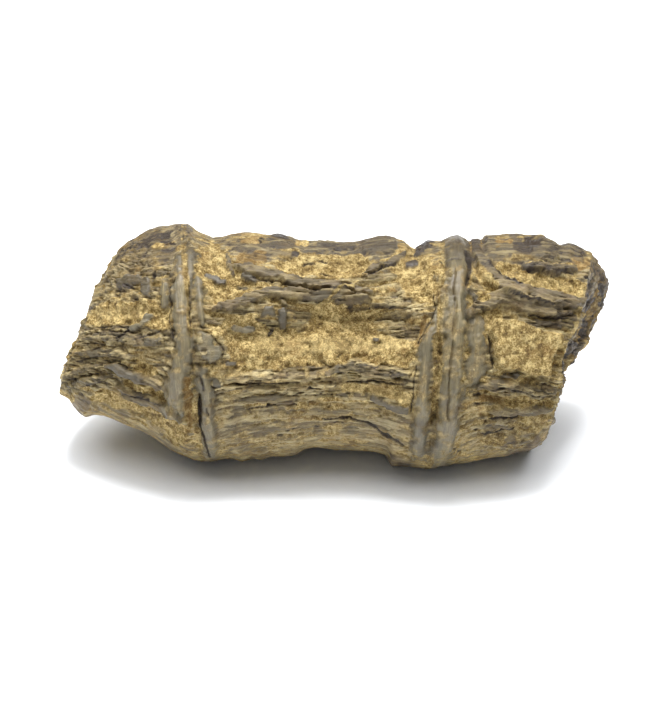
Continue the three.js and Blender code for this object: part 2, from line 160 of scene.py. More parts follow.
outline = {
    "topRun": [(-37.5, 19.5), (-30, 21.6), (-22, 20.8), (-10, 20.8), (5, 20), (20, 20.2),
               (32, 20.8), (47, 18.3)],
    "bottomRun": [(-50.2, -8.2), (-44, -12), (-35, -14.9), (-24, -20), (-8, -19.4), (2, -18.6),
                  (17.5, -21.4), (28, -20), (38, -17.6)],
    "topEdge": [
        (-37.5, 20.1), (-36, 20.7), (-34, 22), (-32, 22.8), (-30, 23), (-28.9, 23.3),
        (-26.5, 23.3), (-25.7, 22.7), (-25, 22.1), (-23.5, 21.4), (-22, 20.7), (-20, 20.9),
        (-18, 21.5), (-16, 21.8), (-14, 21.7), (-12, 21.3), (-10, 21.5), (-8, 21), (-6, 20.3),
        (-2, 19.95), (0, 20), (2, 19.7), (5, 20.1), (7, 20.6), (9, 20.95), (10.5, 20.9),
        (13.3, 20.1), (14, 19.2), (15.2, 18.6), (16.5, 19.4), (17.5, 20.1), (20, 20),
        (21.3, 20.6), (23, 20.95), (24.5, 20.5), (25, 20.05), (27.8, 20.5), (28.2, 21.2),
        (31, 21.3), (34.5, 21.5), (36, 21.2), (38.5, 21.4), (39.8, 20.6), (41, 19.6),
        (42, 19.2), (43.5, 19.6), (45, 19.4), (46.5, 18.5), (47.5, 18.2)],
    "bottomEdge": [
        (-50.2, -8.2), (-48.5, -9), (-47.7, -10.3), (-46.5, -11.8), (-45.5, -12.4), (-44, -12),
        (-42, -12.2), (-40, -12.9), (-38, -13.8), (-36, -14.6), (-35, -14.8), (-33, -16),
        (-30, -18.2), (-28, -19.3), (-25, -20.3), (-22.5, -20.5), (-20, -20.1), (-18.5, -20),
        (-16.5, -20.5), (-14.5, -19.9), (-13, -20.1), (-11, -19.5), (-9, -19.7), (-6.5, -19.3),
        (-6, -18.9), (-5, -18.2), (-3, -17.9), (0, -18.3), (4, -18.5), (8, -18.8), (9.8, -19.3),
        (11, -21.4), (14.5, -21.5), (16, -21.8), (17.5, -21.9), (20, -21.3), (24, -21),
        (28, -20), (32, -19.6), (34, -18.8), (36, -18.7), (38, -17.6)],
}

seams = {
    "left": {"mid": -25.1, "sway": 0.3, "wave": 0.35, "phase": 0.6,
             "before": 2.6, "after": 2.2, "riseBefore": 1.5, "riseAfter": 1.2},
    "right": {"mid": 19.2, "sway": -0.9, "wave": 0.35, "phase": 2.1,
              "before": 2.2, "after": 3.2, "riseBefore": 1.1, "riseAfter": 1.7},
}
rims = {"width": 1.6, "frontShare": 0.3, "seamDepth": 0.7, "seamWidth": 0.9}

brokenEnds = {
    "left": {"mid": -43.85, "bulge": 0.8, "from": 20, "to": 18, "notch": None,
             "boneMore": 0.0, "tone": -0.05, "rust": 0.15,
             "out": [(-10, 0), (20, 0)]},
    "right": {"mid": 42.5, "bulge": 0.4, "from": 13, "to": -4, "notch": (-6, 4, 1.5, 4, 13),
              # the right end's tone of -0.75: its own dark brown, and painted shade on the recessed
              # break face
              "boneMore": 0.16, "tone": -0.75, "rust": 0.6,
              "out": [(-18, 0.3), (-4, 0.4), (-2.6, 2.2), (0.3, 3.1), (4, 4.6), (9, 5.3),
                      (12.5, 5.6), (14.5, 4.6), (16.5, 2.6), (18.5, 0.6)]},
}


def along(points, x):
    # straight from point to point
    px, pv = np.array(points, float).T
    return np.interp(x, px, pv)


def eased(points, x):
    # the same, averaged over a few millimetres with twice the weight in the middle
    reach = 2.5
    return (along(points, x - reach) + 2 * along(points, x) + along(points, x + reach)) / 4


def bodyPoint(mid, angle, share=1.0):
    # a boxy ellipse between the upper and lower outline; angle 0 faces the camera, a quarter
    # turn is the upper outline; the fine edge fades in with the fourth power of the height
    k = 2 / sheet["squareness"]
    sine, cosine = np.sin(angle), np.cos(angle)
    up = np.sign(sine) * np.abs(sine) ** k
    out = np.sign(cosine) * np.abs(cosine) ** k
    topX = np.interp(mid, stations["mid"], stations["topX"])
    bottomX = np.interp(mid, stations["mid"], stations["bottomX"])
    top, bottom = eased(outline["topRun"], topX), eased(outline["bottomRun"], bottomX)
    edge = np.where(up > 0, along(outline["topEdge"], topX) - top,
                    bottom - along(outline["bottomEdge"], bottomX))
    reach = (share * up + 1) / 2
    depth = np.where(out > 0, np.interp(mid, stations["mid"], stations["front"]),
                     np.interp(mid, stations["mid"], stations["back"]))
    return np.stack([
        bottomX + (topX - bottomX) * reach,
        bottom + (top - bottom) * reach + share * np.sign(up) * edge * np.abs(up) ** 4,
        share * depth * out,
    ], axis=-1)


def seamMid(seam, angle):
    # a plane turned a little about the upright line: mid + sway cos a + wave sin(2 a + phase)
    return (seam["mid"] + seam["sway"] * np.cos(angle)
            + seam["wave"] * np.sin(2 * angle + seam["phase"]))


def breakOut(end, v, w):
    # how far a broken end stands out past its station: its profile at height v, smoothly more from
    # front to back, less a notch that follows half a sine wave up the front
    out = along(end["out"], v) * smooth(end["from"], end["to"], w)
    if end["notch"]:
        low, high, depth, start, full = end["notch"]
        share = np.clip((v - low) / (high - low), 0, 1)
        out = out - depth * np.sin(math.pi * share) * smooth(start, full, w)
    return out


def endMid(end, angle):
    # where the side stops all round a broken end: its station, and what stands out there
    plain = bodyPoint(np.full_like(angle, end["mid"]), angle)
    return end["mid"] + np.sign(end["mid"]) * breakOut(end, plain[..., 1], plain[..., 2])


print("body outlined")


# The forms drawn on the front: kind, half width, rise, path. A later one lies over an earlier one.
# Kinds: how much bone, how dark (below 0) or pale, how rusty, how flat across, how ragged at the
# edges.
kinds = {
    "strut": {"bone": 1.05, "tone": -0.12, "rust": 0.0, "flat": 0.75, "ragged": 0.0},
    "bar": {"bone": 1.15, "tone": -0.28, "rust": 0.12, "flat": 0.8, "ragged": 0.12},
    "rim": {"bone": 0.84, "tone": -0.14, "rust": 0.0, "flat": 0.2, "ragged": 0.35},
    "plate": {"bone": 1.3, "tone": -0.10, "rust": 0.0, "flat": 0.85, "ragged": 0.3},
    "chip": {"bone": 1.3, "tone": -0.56, "rust": 0.0, "flat": 0.8, "ragged": 0.45},
    "dark": {"bone": 1.0, "tone": -0.50, "rust": 0.1, "flat": 0.5, "ragged": 0.35},
    "brown": {"bone": 0.9, "tone": -0.48, "rust": 0.4, "flat": 0.4, "ragged": 0.0},
    "sand": {"bone": 0.05, "tone": 0.0, "rust": 0.0, "flat": 0.2, "ragged": 0.0},
    "tan": {"bone": 0.3, "tone": -0.14, "rust": 0.0, "flat": 0.2, "ragged": 0.3},
    "pale": {"bone": 0.05, "tone": 0.35, "rust": 0.0, "flat": 0.2, "ragged": 0.0},
    "rust": {"bone": 0.2, "tone": -0.1, "rust": 0.8, "flat": 0.2, "ragged": 0.4},
    "rubble": {"bone": 0.66, "tone": -0.32, "rust": 0.15, "flat": 0.2, "ragged": 0.0},
    "mixed": {"bone": 0.66, "tone": -0.10, "rust": 0.05, "flat": 0.2, "ragged": 0.0},
    "crack": {"bone": None, "tone": -0.70, "rust": 0.1, "flat": 0.1, "ragged": 0.0},
    "groove": {"bone": None, "tone": -0.3, "rust": 0.1, "flat": 0.1, "ragged": 0.0},
}
drawing = {
    "tapered": ("strut", "bar", "crack"),    # kinds that run out thin at both ends
    "tip": 0.45,                     # the half width left at an end, and in half widths how far
    "run": 3.5,                      # the thinning runs and how long a path must be to have it
    "fromLength": 5,
    "wobble": 0.16,                  # of the half width
    "crackHalf": 0.75,
    "crackRise": 0.7,
}

leftForms = [
    ("mixed", 7.0, 0.0, [(-45, -1), (-30, -1)]),                     # fibres through the sand
    ("sand", 2.4, -0.5, [(-44, 6.3), (-34, 6.9), (-31, 5.5)]),       # pale band below the crest
    ("pale", 1.2, 0.0, [(-43.5, 6.5), (-39, 7), (-35, 7)]),
    ("rubble", 3.6, 0.3, [(-39.5, 13.5), (-36, 15.5), (-32, 19)]),    # lumpy crest
    ("rubble", 2.0, 0.7, [(-40.2, 14), (-37.5, 17.5)]),
    ("rubble", 1.6, 0.7, [(-36, 19.5), (-33, 21)]),
    ("mixed", 1.7, 0.8, [(-30, 22), (-27.2, 21.5)]),
    ("mixed", 1.5, 0.6, [(-28.4, 21.2), (-27.6, 20.6)]),
    ("chip", 1.1, 0.5, [(-38.5, 12.2), (-36.5, 13.2)]),
    ("chip", 0.9, 0.5, [(-34.2, 12.6), (-34.2, 10.6)]),
    ("crack", 0.4, -0.7, [(-31.4, 20.8), (-30.2, 20.9)]),
    ("pale", 0.5, 0.2, [(-32.6, 19.2), (-31.2, 19.5)]),
    ("crack", 0.4, -0.6, [(-29.8, 19.7), (-29.2, 19.5)]),
    ("crack", 0.35, -0.7, [(-32.8, 14.3), (-33.3, 12.5)]),
    ("crack", 0.5, -0.5, [(-38, 11.7), (-37, 11.5)]),
    ("crack", 0.4, -0.5, [(-36.5, 9.3), (-35.8, 9.3)]),
    ("crack", 0.25, -0.4, [(-44, 4.1), (-40.5, 4.2), (-37, 4.1)]),
    ("strut", 1.1, 0.8, [(-45.5, 2.2), (-42, 2.4), (-38.5, 2.2), (-34, 1.6), (-31.5, 1.2)]),
    ("crack", 0.28, -0.5, [(-44.5, 3), (-42, 3.2), (-40, 3.1), (-38.5, 3.3), (-36.5, 3.3)]),
    ("crack", 0.4, -0.7, [(-39.6, 1.9), (-38.4, 2.8), (-37.3, 4)]),
    ("plate", 0.7, 0.7, [(-36.8, 3.9), (-35, 4.8), (-33.7, 6.2)]),
    ("crack", 0.28, -0.5, [(-36, 2.1), (-33.5, 2.7), (-31.7, 3.6)]),
    ("chip", 0.6, 0.5, [(-33.5, 1.4), (-31.7, 1.8)]),
    ("strut", 1.0, 0.6, [(-47, -0.6), (-44, -0.8), (-41.5, -0.5), (-37, -1.2)]),
    ("crack", 0.22, -0.4, [(-46.5, 1.3), (-42, 1.0)]),
    ("crack", 0.22, -0.4, [(-45, 0), (-42.5, 0.2)]),
    ("crack", 0.22, -0.4, [(-47.5, -2.2), (-43.5, -1.5)]),
    ("strut", 0.9, 0.7, [(-49.5, -5), (-46, -3.8), (-43, -3)]),
    ("strut", 0.9, 0.7, [(-49.6, -7), (-45.5, -6), (-42, -5.1)]),
    ("crack", 0.22, -0.4, [(-49.5, -6), (-46, -5.2), (-43, -4.2)]),
    ("crack", 0.22, -0.4, [(-49, -7.6), (-45, -6.5), (-42, -5.6)]),
    ("sand", 2.2, -0.7, [(-43, -9.6), (-38, -10.8), (-33, -13), (-28.5, -15.5)]),
    ("brown", 1.3, -0.3, [(-47, -9.6), (-45.6, -10.6)]),             # chipped corner
    ("bar", 1.0, 0.9, [(-41.5, -2.9), (-40, -2.9), (-38.5, -4), (-36, -4.9), (-34, -5.5),
                         (-32.5, -6.2), (-31, -7.1), (-30, -8)]),
    ("chip", 0.7, 0.3, [(-40.5, -3), (-38, -4.1), (-34.5, -5.4)]),
    ("crack", 0.25, -0.5, [(-41, -2.2), (-39, -2.3), (-37.5, -3.3)]),
    ("dark", 0.35, 0.1, [(-34.6, -5.3), (-34, -5.4)]),
    ("sand", 0.9, -0.4, [(-35.5, -3), (-33, -3.8)]),
    ("sand", 0.8, -0.4, [(-38, -5.9), (-34, -7.6), (-30.5, -9.4)]),
    ("bar", 0.9, 0.9, [(-39.5, -6.6), (-38, -7.5), (-36, -8.5), (-34, -9.5), (-32, -10.3),
                         (-30, -11), (-28.5, -11.8), (-27.5, -12.6)]),
    ("crack", 0.2, -0.4, [(-38.5, -7.2), (-35, -8.5), (-31.5, -10)]),
    ("dark", 0.3, 0.1, [(-42, -6.2), (-41, -7)]),
    ("mixed", 1.2, 0.2, [(-44, -11), (-38, -12.8), (-32, -15.6)]),
    ("rim", 2.2, 0.9, [(-26.8, 17), (-27.4, 13), (-28.2, 10), (-28, 7), (-27.3, 3), (-27, 0),
                       (-28, -4), (-28.7, -7), (-29, -10.5)]),       # the joint rim's ridge
    ("rim", 0.8, 0.5, [(-31, 12.5), (-31.2, 8)]),
    ("crack", 0.25, -0.5, [(-29.9, 12), (-30, 6), (-29.2, 2)]),
    ("rim", 0.5, 0.6, [(-28.6, -9.2), (-27.4, -10.6), (-27.4, -12.6)]),
    ("rust", 0.6, -0.6, [(-26.8, -5.5), (-26.6, -9), (-26.4, -14)]),
    ("crack", 0.2, -0.4, [(-26.6, 12), (-26.2, 8), (-26.3, 4)]),
]

middleForms = [
    ("mixed", 3.2, 0.0, [(-20, -6.2), (-10, -6.6), (0, -5), (12, -4)]),   # rough fibrous band
    ("mixed", 6.0, 0.2, [(-19, -15.5), (-6, -14.5), (4, -15), (14, -17)]),  # worn underside
    ("mixed", 2.4, 0.1, [(-18, 18.8), (-5, 19.4), (9, 19)]),
    ("sand", 4.2, -0.4, [(-23, 16), (-19, 12)]),
    ("sand", 2.5, -1.1, [(-8, 15.6), (0, 15.8), (5, 15.6)]),         # upper hollow
    ("sand", 3.8, -1.7, [(-17, 3.2), (-4, 4.2), (8, 4.4), (14, 3)]),  # side hollow
    ("sand", 3.6, -0.5, [(-16, -0.6), (0, 0), (13, -0.2)]),
    ("sand", 1.7, -1.5, [(-6, 7), (2, 6.8), (8, 6.6), (13, 6.2)]),   # deepest under the strut
    ("pale", 1.8, 0.0, [(-13, 1.5), (-4, 0.6), (6, 1.2), (12, 1.5)]),
    ("sand", 3.6, -0.3, [(14, 16), (17.5, 12)]),
    ("rust", 1.3, 0.0, [(-17, 16.4), (-13, 17.2)]),
    ("rust", 0.6, 0.2, [(-16.6, 20.6), (-13.4, 20.8)]),
    ("strut", 0.9, 0.8, [(-18, 18.7), (-16, 18.6), (-14, 18.9), (-12, 19.3), (-10, 19.5),
                         (-7, 19.1), (-4, 19), (-1, 19), (2, 19), (5, 19.1)]),
    ("strut", 1.5, 0.9, [(6.4, 19.3), (10.8, 19.4)]),                # lump at the top right
    ("strut", 0.6, 0.5, [(7.3, 18), (8.4, 16.6)]),
    ("chip", 0.6, 0.4, [(-10.4, 21), (-9, 21)]),
    ("crack", 0.35, -0.5, [(-13.2, 20.6), (-12.8, 20.6)]),
    ("pale", 0.6, 0.1, [(-6.3, 19.8), (-4.8, 19.7)]),
    ("mixed", 1.0, 0.4, [(-10.5, 17.8), (-6.5, 18)]),
    ("dark", 0.35, 0.2, [(-7.2, 17.7), (-6.4, 17.7)]),
    ("dark", 0.3, 0.2, [(-11.3, 18.9), (-10.7, 18.9)]),
    ("crack", 0.3, -0.5, [(-5.4, 16), (-4.5, 16.6), (-3, 16.6)]),
    ("crack", 0.25, -0.4, [(-2.5, 17), (-1, 16.8)]),
    ("crack", 0.3, -0.4, [(-1.9, 14.2), (-0.7, 14.2)]),
    ("bar", 0.7, 0.6, [(-19.3, 17.6), (-19.2, 16), (-18.6, 14.6), (-18.3, 14)]),
    ("chip", 0.55, 0.5, [(-22.9, 13.9), (-22.2, 13.4), (-21, 12.7), (-20, 12.3)]),
    ("chip", 0.5, 0.5, [(-16.5, 14), (-15.5, 13.6), (-14.4, 13.1)]),
    ("strut", 0.45, 0.4, [(-17.3, 11.6), (-15.8, 11.5)]),
    ("bar", 0.9, 1.0, [(-18, 15.3), (-16, 14.9), (-14, 14.3), (-12, 13.9), (-10, 13.4),
                         (-8, 12.7), (-5, 12.2), (-2, 12), (0, 11.9), (2, 11.6), (4, 11.4),
                         (6, 11), (7.2, 10.6)]),
    ("bar", 1.0, 1.1, [(-22, 7.2), (-20.5, 7.9), (-19, 8.2), (-17, 8.6), (-15.5, 9.2),
                         (-14, 9.8), (-12, 10.4), (-10, 10.6), (-7, 10.2), (-4, 9.8), (-2, 9.9),
                         (0, 10.2), (2, 10.2), (4, 9.6), (6.5, 9.2)]),
    ("bar", 0.8, 0.5, [(-8, 11.2), (-3, 10.9), (2, 10.8), (6, 10.2)]),
    ("crack", 0.22, -0.5, [(-9, 11.5), (-4, 11), (0, 11), (4, 10.6)]),
    ("crack", 0.2, -0.4, [(-15, 13.3), (-11, 12.5), (-7, 11.7)]),
    ("dark", 0.3, 0.1, [(-17.9, 8.2), (-17.1, 8.4)]),
    ("dark", 0.3, 0.1, [(-14.7, 9.6), (-13.9, 9.8)]),
    ("pale", 0.35, 0.1, [(-2.5, 8), (-0.5, 9.2), (1, 10.6), (2.5, 11.3), (4.2, 11.4)]),
    ("dark", 0.8, 0.9, [(1.2, 8.9), (4, 9), (6.6, 9.2)]),            # dark lump under the strut
    # painted shadow: a dark crack under the dark lump where its shade falls, cut in as a groove
    ("crack", 0.5, -0.9, [(2.5, 7.9), (5, 7.7), (7, 7.9)]),
    ("crack", 0.35, -0.6, [(7, 8.1), (10, 8.2), (12, 8), (14, 7.8)]),
    ("mixed", 0.8, 0.3, [(10, 6.6), (15, 7)]),
    ("bar", 0.6, 0.5, [(6, 14.2), (7.5, 15.1), (10, 16.2)]),
    ("strut", 0.6, 0.5, [(5, 12.5), (7, 13.1), (9, 13.2), (12, 13.4)]),
    ("bar", 0.7, 0.6, [(9, 15.3), (12, 17), (13.5, 18)]),
    ("crack", 0.2, -0.4, [(6.5, 13.9), (9, 15), (12, 16.3)]),
    ("chip", 0.4, 0.4, [(14, 16.1), (15.6, 16.4)]),
    ("chip", 0.7, 0.7, [(16, 17.8), (17, 19), (18, 20)]),
    ("rust", 0.5, 0.0, [(10.6, 11.3), (11.5, 11.3)]),
    ("crack", 0.3, -0.5, [(19.8, 16.2), (20.2, 16.1)]),
    ("mixed", 2.4, 0.5, [(-11.5, 6.6), (-6, 6)]),                    # rubble
    ("chip", 0.9, 0.8, [(-12.1, 7), (-11.3, 7)]),
    ("chip", 1.0, 0.9, [(-9, 6.6), (-8.8, 4.6)]),
    ("dark", 0.4, 0.4, [(-9.3, 9.3), (-8.6, 8.2)]),
    ("dark", 0.35, 0.3, [(-11.5, 2.8), (-10.8, 4.2)]),
    ("dark", 0.3, 0.3, [(-6.9, 6.2), (-6.6, 6.1)]),
    ("dark", 0.3, 0.3, [(-5.9, 5.6), (-5.6, 5.6)]),
    ("crack", 0.3, -0.4, [(-13.9, 5.8), (-13.5, 5.8)]),
    ("plate", 0.8, 0.6, [(-18, 4.2), (-16.5, 3.8), (-14.6, 4.1)]),
    ("pale", 0.5, 0.1, [(-13.1, 4.8), (-12.5, 4.8)]),
    ("chip", 0.35, 0.3, [(7.6, 2), (8.2, 1.7)]),
    ("mixed", 2.0, 0.1, [(9.5, 5), (14.5, 3.5)]),
    ("rust", 0.5, -0.6, [(17.3, 6.2), (16.8, 4), (16.2, 1.3)]),
    ("crack", 0.25, -0.4, [(-2, -2), (-1, -2.8), (0, -3.6), (0.7, -3.8)]),
    ("crack", 0.22, -0.3, [(0.5, -1.5), (2, -0.9)]),
    ("mixed", 1.3, 1.0, [(-19, -5.4), (-14, -5.4), (-9, -5.2), (-4, -5), (-1, -4.5)]),
    ("mixed", 0.9, 0.6, [(-19, -7.4), (-13, -7.6), (-8, -7.2), (-3, -7), (0, -6.4)]),
    ("brown", 0.45, 0.2, [(-10.6, -4.7), (-8.4, -4.7)]),
    ("crack", 0.3, -0.5, [(-19, -6.5), (-16.5, -6.5), (-14, -6.5), (-10, -6.2), (-6, -6)]),
    ("crack", 0.25, -0.5, [(-7, -8.3), (-5, -8)]),
    ("crack", 0.25, -0.5, [(-5, -7), (-2.5, -6.8)]),
    ("crack", 0.25, -0.5, [(0, -7), (1, -6.5)]),
    ("chip", 0.4, 0.4, [(-19.4, -2.4), (-18.2, -2.4)]),
    ("strut", 1.3, 1.1, [(-1, -4.3), (1, -3.6), (3, -3), (4.5, -2.8), (6, -3.6), (8, -4.2),
                         (10, -4.2), (12, -4.3), (14.3, -4.6)]),
    ("crack", 0.25, -0.5, [(6.2, -3), (8, -3.2), (9.2, -2.9), (11, -2.7)]),
    ("dark", 0.4, 0.2, [(11.3, -4.5), (12.6, -4.5)]),
    ("crack", 0.35, -0.5, [(3, -5.9), (6, -5.7), (9, -5.9), (12, -6.3), (14, -6.4)]),
    ("pale", 0.8, -0.3, [(2.5, -6.9), (5, -6.9), (9, -7.4), (12, -8.4), (14, -9.2)]),
    ("chip", 0.6, 0.7, [(7.7, -8.5), (9, -9.4), (10.5, -10.3), (12, -10.8), (13.8, -11)]),
    ("crack", 0.25, -0.4, [(-16, -11.2), (-13.8, -10.9), (-11, -10.4), (-8.3, -9.6), (-6.5, -9.9)]),
    ("strut", 0.8, 0.4, [(-17, -9.6), (-12, -9.2), (-6, -8.9)]),
    ("brown", 0.5, 0.1, [(-8.6, -9.5), (-7.4, -9.5)]),
    ("rust", 0.3, -0.1, [(-4, -9.6), (-2.5, -9.7)]),
    ("rust", 0.3, -0.1, [(-5, -12.4), (-2, -12.6)]),
    ("crack", 0.2, -0.3, [(0, -13.4), (2, -13.4)]),
    ("crack", 0.35, -0.6, [(-2, -12.6), (2, -12.6), (4.5, -13), (6, -13.3), (7.3, -14), (9, -15.2),
                           (12, -16.5), (13.5, -17.5)]),
    ("brown", 1.1, 0.3, [(10.6, -20.4), (13.8, -20.9)]),             # lump beside the right rim
    ("crack", 0.3, -0.4, [(-8.6, -14.6), (-8, -14.5)]),
    ("crack", 0.3, -0.4, [(-9.8, -15.7), (-9.2, -15.6)]),
    ("crack", 0.25, -0.4, [(-7.2, -14.3), (-6.8, -14.3)]),
    ("crack", 0.25, -0.4, [(-3.2, -14), (-2.8, -14)]),
    ("rim", 2.0, 0.9, [(-24.4, -4.4), (-23.4, -9), (-22.9, -14), (-22.4, -19)]),  # left rim
    ("plate", 2.4, 0.9, [(-23.6, 1.2), (-22.6, -0.4)]),              # smooth plate on the rim
    ("crack", 0.25, -0.5, [(-22.4, 2.9), (-20.7, 1), (-20.1, -0.4), (-20.6, -1.6)]),
    ("sand", 0.3, -0.3, [(-26, -2.8), (-22, -2.9)]),
    ("crack", 0.7, -1.3, [(-24.7, -8.5), (-24.5, -11), (-24.5, -13.8)]),
    ("crack", 0.4, -0.8, [(-24.3, -14), (-23.6, -16.5), (-22.6, -19)]),
    ("crack", 0.25, -0.5, [(-24.6, -4.6), (-24, -5.5), (-23.9, -7.8)]),
    ("crack", 0.25, -0.5, [(-23.4, -10), (-22.8, -11.5)]),
    ("chip", 0.75, 0.2, [(-21.8, -6.4), (-21.2, -6.6)]),
    ("rim", 0.8, 0.5, [(-24.6, 13), (-24.4, 8), (-24.2, 4.6)]),
    ("rim", 1.7, 0.7, [(20.5, 13), (20.8, 8), (19, 3.5), (17.4, 0), (17.2, -6), (16.6, -12),
                       (16, -18.5)]),                                # right rim, inner strip
    ("crack", 0.2, -0.4, [(18.9, 10.5), (19.1, 7.5), (17.8, 4.6), (16.1, 1.2)]),
    ("crack", 0.2, -0.4, [(15.6, -3), (15.2, -7), (14.6, -11.5)]),
    ("sand", 0.9, -0.8, [(19.4, 2.4), (19.8, -3), (19.4, -8), (18.8, -13)]),
]

rightForms = [
    ("mixed", 6.0, 0.2, [(25, -14), (34, -14.5)]),                   # worn underside
    ("tan", 3.4, 0.0, [(29.5, -14.6), (36, -14.2)]),
    ("rubble", 3.0, 0.3, [(27, 17.5), (34, 18.5), (44, 17.5)]),
    ("sand", 4.0, -0.2, [(27.5, 7), (29, 4)]),
    ("rim", 2.6, 1.2, [(23, 20.5), (23.2, 16), (23.3, 12), (23, 8), (22.8, 4), (22.3, 0),
                       (22, -5), (21.5, -10), (21, -15), (19.6, -20.5)]),
    ("crack", 0.2, -0.4, [(21.8, 16.3), (24, 16.3)]),
    ("groove", 0.3, -0.4, [(22.4, 14), (22.6, 6), (21.8, -2), (21.2, -12)]),
    ("crack", 0.6, -1.0, [(24.6, 18.3), (25.4, 16.5), (25.5, 15), (24.9, 12.5), (24.8, 11.6)]),
    ("pale", 0.25, 0.0, [(25.9, 14), (25.4, 11.5)]),
    ("chip", 0.5, 0.5, [(25.5, 11), (26.3, 10), (26.7, 9)]),
    ("rim", 2.3, 0.5, [(26, 5), (26.8, 1.5), (27, -1.5), (26.2, -4.8)]),  # smooth shoulder
    # a dark crevice at the slab's left edge, painted darker as the slab's shadow
    ("crack", 0.45, -1.1, [(28.8, 2.8), (29.6, 1), (29.7, -1), (29.6, -3.5)]),
    ("rust", 0.7, 0.1, [(26.2, 19), (27.6, 19)]),
    ("strut", 2.0, 0.7, [(29.5, 18.5), (33.5, 19.5)]),
    ("strut", 2.1, 0.7, [(38.5, 18.6), (43, 18.4)]),
    ("chip", 1.0, 0.4, [(36.5, 20), (38, 19.4)]),
    ("rust", 0.8, 0.0, [(31, 19.8), (33, 19.9)]),
    ("brown", 0.9, -0.6, [(34.5, 18.9), (36.5, 18.3)]),
    ("rust", 1.0, -0.3, [(45, 16.4), (47, 16)]),
    ("crack", 0.5, -0.7, [(47, 13.8), (47.6, 13.5)]),
    ("sand", 1.9, -0.5, [(31.5, 14.6), (36, 13), (40, 12.2), (45, 11.6)]),  # sand wedge
    ("pale", 1.1, 0.3, [(33, 13.8), (38, 12.5), (44, 11.8)]),
    ("bar", 1.0, 1.0, [(35.5, 15), (38, 15), (40, 14.8), (42, 14.7), (45, 14.8)]),
    ("dark", 0.5, 0.2, [(36.5, 14.7), (39, 14.5), (44.5, 14.4)]),
    ("pale", 0.3, 0.0, [(36, 15.9), (40, 15.8), (45, 15.8)]),
    ("bar", 1.7, 1.5, [(26.4, 20.5), (27.2, 17.5), (28.2, 15.4), (29.6, 13.6), (32, 12),
                       (34, 11.1), (36, 10.4), (38, 9.8), (40, 9.5), (43.5, 9), (48, 8.6)]),
    ("crack", 0.3, -0.6, [(28.8, 16.2), (30.5, 14.2), (33, 12.6), (35, 11.8), (38, 11)]),
    ("pale", 1.0, -0.2, [(26.9, 14.8), (28.2, 13), (30, 11.2)]),
    ("crack", 0.25, -0.5, [(27.5, 12.6), (29.8, 11.6), (32, 10.6)]),
    ("bar", 1.5, 1.2, [(25, 6.4), (27.5, 8.3), (29.5, 9), (31, 9.7), (33, 9.3), (35, 8.3),
                       (38, 7.4), (41, 7), (44, 6.8)]),
    ("sand", 0.7, -0.3, [(27.4, 9.4), (28.6, 9.5)]),
    ("crack", 0.25, -0.6, [(32.5, 10.2), (35, 9.3), (38, 8.5), (42, 8)]),
    ("dark", 0.8, 0.5, [(41.5, 8.4), (45, 8.2)]),
    ("dark", 0.8, 0.4, [(41.5, 6.2), (44.6, 6)]),
    ("dark", 0.7, 0.5, [(35, 5.4), (37, 4.9), (40, 4.6), (44, 4.8)]),
    ("crack", 0.3, -0.6, [(36, 6.4), (39, 5.8), (43, 5.6)]),
    ("groove", 0.5, -0.5, [(33, -4.6), (36, -5.4), (40.5, -5.9)]),
    ("chip", 0.5, 0.5, [(31.8, -4.8), (34.2, -4.8)]),
    ("strut", 1.1, 0.9, [(27, -7), (30, -6.5), (33, -6.8), (36, -7.4), (38, -7.9), (41, -7.9)]),
    ("crack", 0.22, -0.4, [(28, -7.2), (32, -6.9), (36, -7.9), (40, -8.6)]),
    # painted highlight: a pale glint on the strut
    ("pale", 0.3, 0.1, [(34.6, -5.8), (35.3, -5.7)]),
    ("rust", 0.7, -0.7, [(28, -8.9), (31, -9.3), (33, -9.6)]),
    ("sand", 0.8, -0.7, [(33, -9.8), (37, -10), (40.5, -10.1)]),
    ("crack", 0.4, -0.7, [(26.2, -8.4), (27.4, -8.3)]),
    ("crack", 0.35, -0.6, [(26.5, -9.8), (27.8, -10)]),
    ("strut", 0.8, 0.6, [(29, -11.5), (31, -11.2), (33.5, -11.2), (36, -11.3), (40.5, -11)]),
    ("crack", 0.25, -0.4, [(29, -12.6), (33, -12.2), (36, -12.1)]),
    ("crack", 0.25, -0.4, [(28, -15.5), (31, -15), (34, -14.3)]),
    ("crack", 0.35, -0.4, [(26.5, -14.8), (26.9, -14.8)]),
    ("brown", 0.6, -0.3, [(32.6, -16.7), (33.4, -16.6)]),
    ("brown", 0.5, -0.3, [(31.4, -17.9), (32, -17.9)]),
    ("brown", 0.8, 0.2, [(38.2, -16.5), (37.5, -18), (35, -18.7), (33, -19)]),
    ("crack", 0.3, -0.4, [(22.3, -18.5), (22.7, -18.5)]),
    ("crack", 0.3, -0.4, [(23.3, -19), (23.7, -19)]),
]

# the outer two lie over the middle one at the seams
frontForms = middleForms + leftForms + rightForms

sandBlock = {                    # a slab of sandstone that stands proud of the right vertebra
    "rise": 1.9,
    "bevel": 0.5,
    "tone": -0.08,
    "calm": 0.6,                 # how much smoother it is than the other sand
    "wander": 0.6,
    "corners": [(28.5, 3.3), (30, 5.9), (33, 5.8), (36, 5), (39, 3.8), (42.6, 3.2), (42.2, 0.5),
                (41, -1.5), (40.7, -3), (40.4, -5.2), (37, -5.1), (35.5, -4.4), (34, -3.7),
                (30.2, -3.6), (30, -0.5), (29.9, 1.8)],
}

